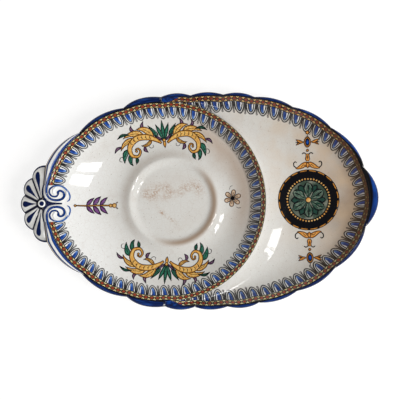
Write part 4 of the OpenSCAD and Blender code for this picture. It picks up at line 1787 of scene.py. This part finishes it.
class PLATE_OT_sprigs(Builder, bpy.types.Operator):
    """Sprig by the handle and blossom beyond the ring"""

    bl_idname = "plate.sprigs"
    bl_label = "Sprigs"

    def build(self, plan, glaze):
        lift = plan.shape.enamel_h
        skin = Skin("painted_sprigs")
        sprig = Brush(skin, plan, lift, (-58.5 * MM, -1.8 * MM))
        sprig.stroke([(-14, 0.2, 0.55), (-5, 0.0, 0.75), (4, 0.2, 0.75), (11, 0.0, 0.6)], 0)
        sprig.dot(-15, 0.2, 1.1, 0, 1)
        for x, size in ((-6.5, 0.85), (-1.5, 1.0), (3.5, 0.9)):
            for side in (1, -1):
                up = side * size
                leaf = [(x, 0.3 * side, 0.5), (x + 1.6, 2.6 * up, 1.9 * size),
                        (x + 3.6, 5.0 * up, 1.4 * size), (x + 5.8, 7.0 * up, 0.12)]
                sprig.stroke(leaf, 2, 1)
        sprig.dot(11.4, 0.0, 1.5, 0, 1)
        sprig.dot(14.2, 0.0, 1.9, 0, 1)
        for side in (1, -1):
            sprig.stroke([(15.6, 1.6 * side, 0.5), (16.8, 2.6 * side, 0.3)], 0, 1, 5)

        blossom = Brush(skin, plan, lift, (45.0 * MM, 1.9 * MM), math.radians(20))
        petals = 6
        for k in range(petals):
            angle = math.radians(360 / petals * k)
            c, s = math.cos(angle), math.sin(angle)
            petal = [(1.0, 0.4), (3.2, 1.7), (5.4, 1.7), (6.6, 0.6)]
            blossom.stroke([(out * c, out * s, half) for out, half in petal], 3, 0)
            blossom.stroke([(1.4 * c, 1.4 * s, 0.14), (4.6 * c, 4.6 * s, 0.2)], 1, 1)
        blossom.dot(0, 0, 1.5, 1, 2)
        for side in (1, -1):
            feeler = [(0, 7.0, 0.14), (1.6, 8.6, 0.18), (3.4, 9.0, 0.14)]
            blossom.stroke([(x, y * side, half) for x, y, half in feeler], 1)
        inks = [
            enamel("sprig ochre", glaze, glaze.ochre, glaze.straw, line=0.32),
            enamel("sprig ink", glaze, glaze.ink),
            enamel("sprig purple", glaze, glaze.purple, (0.2, 0.08, 0.25), line=0.3),
            enamel("blossom", glaze, (0.42, 0.24, 0.14), (0.66, 0.52, 0.38), line=0.38),
        ]
        skin.weld()
        thicken(skin.finish(inks, "glazed_body"), lift)


class PLATE_OT_stage(bpy.types.Operator):
    """Table, camera and lamps"""

    bl_idname = "plate.stage"
    bl_label = "Stage"
    bl_options = {"REGISTER", "UNDO"}

    def execute(self, context):
        self.table()
        self.camera(context.scene)
        self.lamps(context.scene)
        context.scene.view_settings.view_transform = "Standard"
        return {"FINISHED"}

    def table(self):
        """White paper: plain for the light on the plate, brightened for the camera."""
        mesh = bpy.data.meshes.new("table")
        bm = bmesh.new()
        bmesh.ops.create_circle(bm, cap_ends=True, radius=3.0, segments=64)
        bm.to_mesh(mesh)
        bm.free()
        table = bpy.data.objects.new("table", mesh)
        bpy.context.collection.objects.link(table)
        table.location.z = -0.2 * MM
        material = bpy.data.materials.new("table paper")
        material.use_nodes = True
        nodes, links = material.node_tree.nodes, material.node_tree.links
        shader = nodes["Principled BSDF"]
        shader.inputs["Base Color"].default_value = (0.9, 0.9, 0.9, 1)
        shader.inputs["Roughness"].default_value = 0.9
        shader.inputs["Specular IOR Level"].default_value = 0.0
        seen = nodes.new("ShaderNodeBsdfDiffuse")
        seen.inputs["Color"].default_value = (0.3, 0.3, 0.3, 1)
        glow = nodes.new("ShaderNodeEmission")
        glow.inputs["Strength"].default_value = 0.78
        both = nodes.new("ShaderNodeAddShader")
        path = nodes.new("ShaderNodeLightPath")
        mix = nodes.new("ShaderNodeMixShader")
        join(
            links,
            (seen.outputs[0], both.inputs[0]),
            (glow.outputs[0], both.inputs[1]),
            (path.outputs["Is Camera Ray"], mix.inputs[0]),
            (shader.outputs[0], mix.inputs[1]),
            (both.outputs[0], mix.inputs[2]),
            (mix.outputs[0], nodes["Material Output"].inputs["Surface"]),
        )
        mesh.materials.append(material)

    def camera(self, scene):
        stage = scene.plate_stage
        data = bpy.data.cameras.new("camera")
        camera = bpy.data.objects.new("camera", data)
        bpy.context.collection.objects.link(camera)
        rim_z = 21 * MM
        nudge_right, nudge_up = 0.2 * MM, 0.4 * MM
        tilt = stage.view_height
        back = Vector((0, -math.cos(tilt), math.sin(tilt)))
        data.sensor_width = 36.0
        data.lens = data.sensor_width * stage.view_distance / stage.view_width
        data.clip_start = 0.01
        camera.rotation_mode = "QUATERNION"
        camera.rotation_quaternion = back.to_track_quat("Z", "Y") @ roll_by(-stage.view_roll)
        right = camera.rotation_quaternion @ Vector((1, 0, 0))
        up = camera.rotation_quaternion @ Vector((0, 1, 0))
        aim = Vector((0.0, 0.0, rim_z)) + right * nudge_right + up * nudge_up
        camera.location = aim + back * stage.view_distance
        scene.camera = camera

    def lamps(self, scene):
        stage = scene.plate_stage
        heading = math.radians(-23)
        key_height, window_height = math.radians(44), math.radians(62.5)
        key_size, pane_length = (1.1, 1.1), 0.37
        key_distance, window_distance = 1.7, 1.6
        soft = self.lamp("key", stage.key_power, key_size, heading, key_height, key_distance)
        soft.visible_glossy = False
        for name, offset, width in (("pane_right", 0.09, 0.13), ("pane_left", -0.08, 0.11)):
            self.lamp(
                name, stage.pane_power, (width, pane_length), heading, window_height,
                window_distance, offset,
            )
        self.room(scene, stage.fill_strength)

    def room(self, scene, strength):
        """Room that dims overhead, darker in reflections, and white to the camera."""
        world = bpy.data.worlds.new("room")
        world.use_nodes = True
        nodes, links = world.node_tree.nodes, world.node_tree.links
        nodes.clear()
        place = nodes.new("ShaderNodeTexCoord")
        split = nodes.new("ShaderNodeSeparateXYZ")
        white = (1.0, 1.0, 1.0, 1)
        light = ramp(
            nodes, (0.22, white), (0.6, (0.46, 0.43, 0.39, 1)), (0.97, (0.05, 0.045, 0.04, 1))
        )
        shine = ramp(
            nodes, (0.04, white), (0.4, (0.22, 0.21, 0.2, 1)), (0.9, (0.03, 0.03, 0.03, 1))
        )
        path = nodes.new("ShaderNodeLightPath")
        pick = nodes.new("ShaderNodeMix")
        pick.data_type = "RGBA"
        room = nodes.new("ShaderNodeBackground")
        room.inputs["Strength"].default_value = strength
        paper = nodes.new("ShaderNodeBackground")
        paper.inputs["Color"].default_value = white
        mix = nodes.new("ShaderNodeMixShader")
        output = nodes.new("ShaderNodeOutputWorld")
        join(
            links,
            (place.outputs["Generated"], split.inputs[0]),
            (split.outputs["Z"], light.inputs[0]),
            (split.outputs["Z"], shine.inputs[0]),
            (path.outputs["Is Glossy Ray"], pick.inputs["Factor"]),
            (light.outputs[0], pick.inputs[6]),
            (shine.outputs[0], pick.inputs[7]),
            (pick.outputs[2], room.inputs["Color"]),
            (path.outputs["Is Camera Ray"], mix.inputs[0]),
            (room.outputs[0], mix.inputs[1]),
            (paper.outputs[0], mix.inputs[2]),
            (mix.outputs[0], output.inputs[0]),
        )
        scene.world = world

    def lamp(self, name, power, size, heading, height, distance, offset=0.0):
        way = Vector((
            math.cos(height) * math.cos(heading), math.cos(height) * math.sin(heading),
            math.sin(height),
        ))
        data = bpy.data.lights.new(name, "AREA")
        data.shape = "RECTANGLE"
        data.size, data.size_y = size
        data.energy = power
        lamp = bpy.data.objects.new(name, data)
        across = Vector((-math.sin(heading), math.cos(heading), 0))
        lamp.location = way * distance + across * offset
        lamp.rotation_mode = "QUATERNION"
        lamp.rotation_quaternion = way.to_track_quat("Z", "Y")
        bpy.context.collection.objects.link(lamp)
        return lamp


def roll_by(angle):
    turned = Vector((math.cos(angle), math.sin(angle), 0))
    return Vector((1, 0, 0)).rotation_difference(turned)


def join(links, *pairs):
    """Links each pair of a source and a target socket."""
    for source, target in pairs:
        links.new(source, target)


def ramp(nodes, first, middle, last):
    """Colour ramp through three stops of (place, colour)."""
    node = nodes.new("ShaderNodeValToRGB")
    elements = node.color_ramp.elements
    elements[0].position, elements[0].color = first
    elements[1].position, elements[1].color = last
    elements.new(middle[0]).color = middle[1]
    return node


class PLATE_PT_panel(bpy.types.Panel):
    """Sizes, colours and pieces of the plate"""

    bl_idname = "PLATE_PT_panel"
    bl_label = "Painted Plate"
    bl_space_type = "VIEW_3D"
    bl_region_type = "UI"
    bl_category = "Plate"

    def draw(self, context):
        layout = self.layout
        for group in ("plate_shape", "plate_glaze", "plate_stage"):
            box = layout.box()
            settings = getattr(context.scene, group)
            for name in settings.__annotations__:
                box.prop(settings, name)
        for operator in OPERATORS:
            layout.operator(operator.bl_idname)


OPERATORS = (
    PLATE_OT_saucer, PLATE_OT_side_dish, PLATE_OT_edge, PLATE_OT_scrolls, PLATE_OT_shell,
    PLATE_OT_feet, PLATE_OT_medallion, PLATE_OT_leaves, PLATE_OT_sprigs, PLATE_OT_stage,
)
GROUPS = (PlateShape, PlateGlaze, PlateStage)


def register():
    for cls in GROUPS + OPERATORS + (PLATE_PT_panel,):
        bpy.utils.register_class(cls)
    bpy.types.Scene.plate_shape = PointerProperty(type=PlateShape)
    bpy.types.Scene.plate_glaze = PointerProperty(type=PlateGlaze)
    bpy.types.Scene.plate_stage = PointerProperty(type=PlateStage)


def unregister():
    del bpy.types.Scene.plate_shape
    del bpy.types.Scene.plate_glaze
    del bpy.types.Scene.plate_stage
    for cls in reversed(GROUPS + OPERATORS + (PLATE_PT_panel,)):
        bpy.utils.unregister_class(cls)


def main():
    register()
    bpy.ops.plate.saucer()
    bpy.ops.plate.side_dish()
    bpy.ops.plate.edge()
    bpy.ops.plate.scrolls()
    bpy.ops.plate.shell()
    bpy.ops.plate.feet()
    bpy.ops.plate.medallion()
    bpy.ops.plate.leaves()
    bpy.ops.plate.sprigs()
    bpy.ops.plate.stage()


if __name__ == "__main__":
    main()
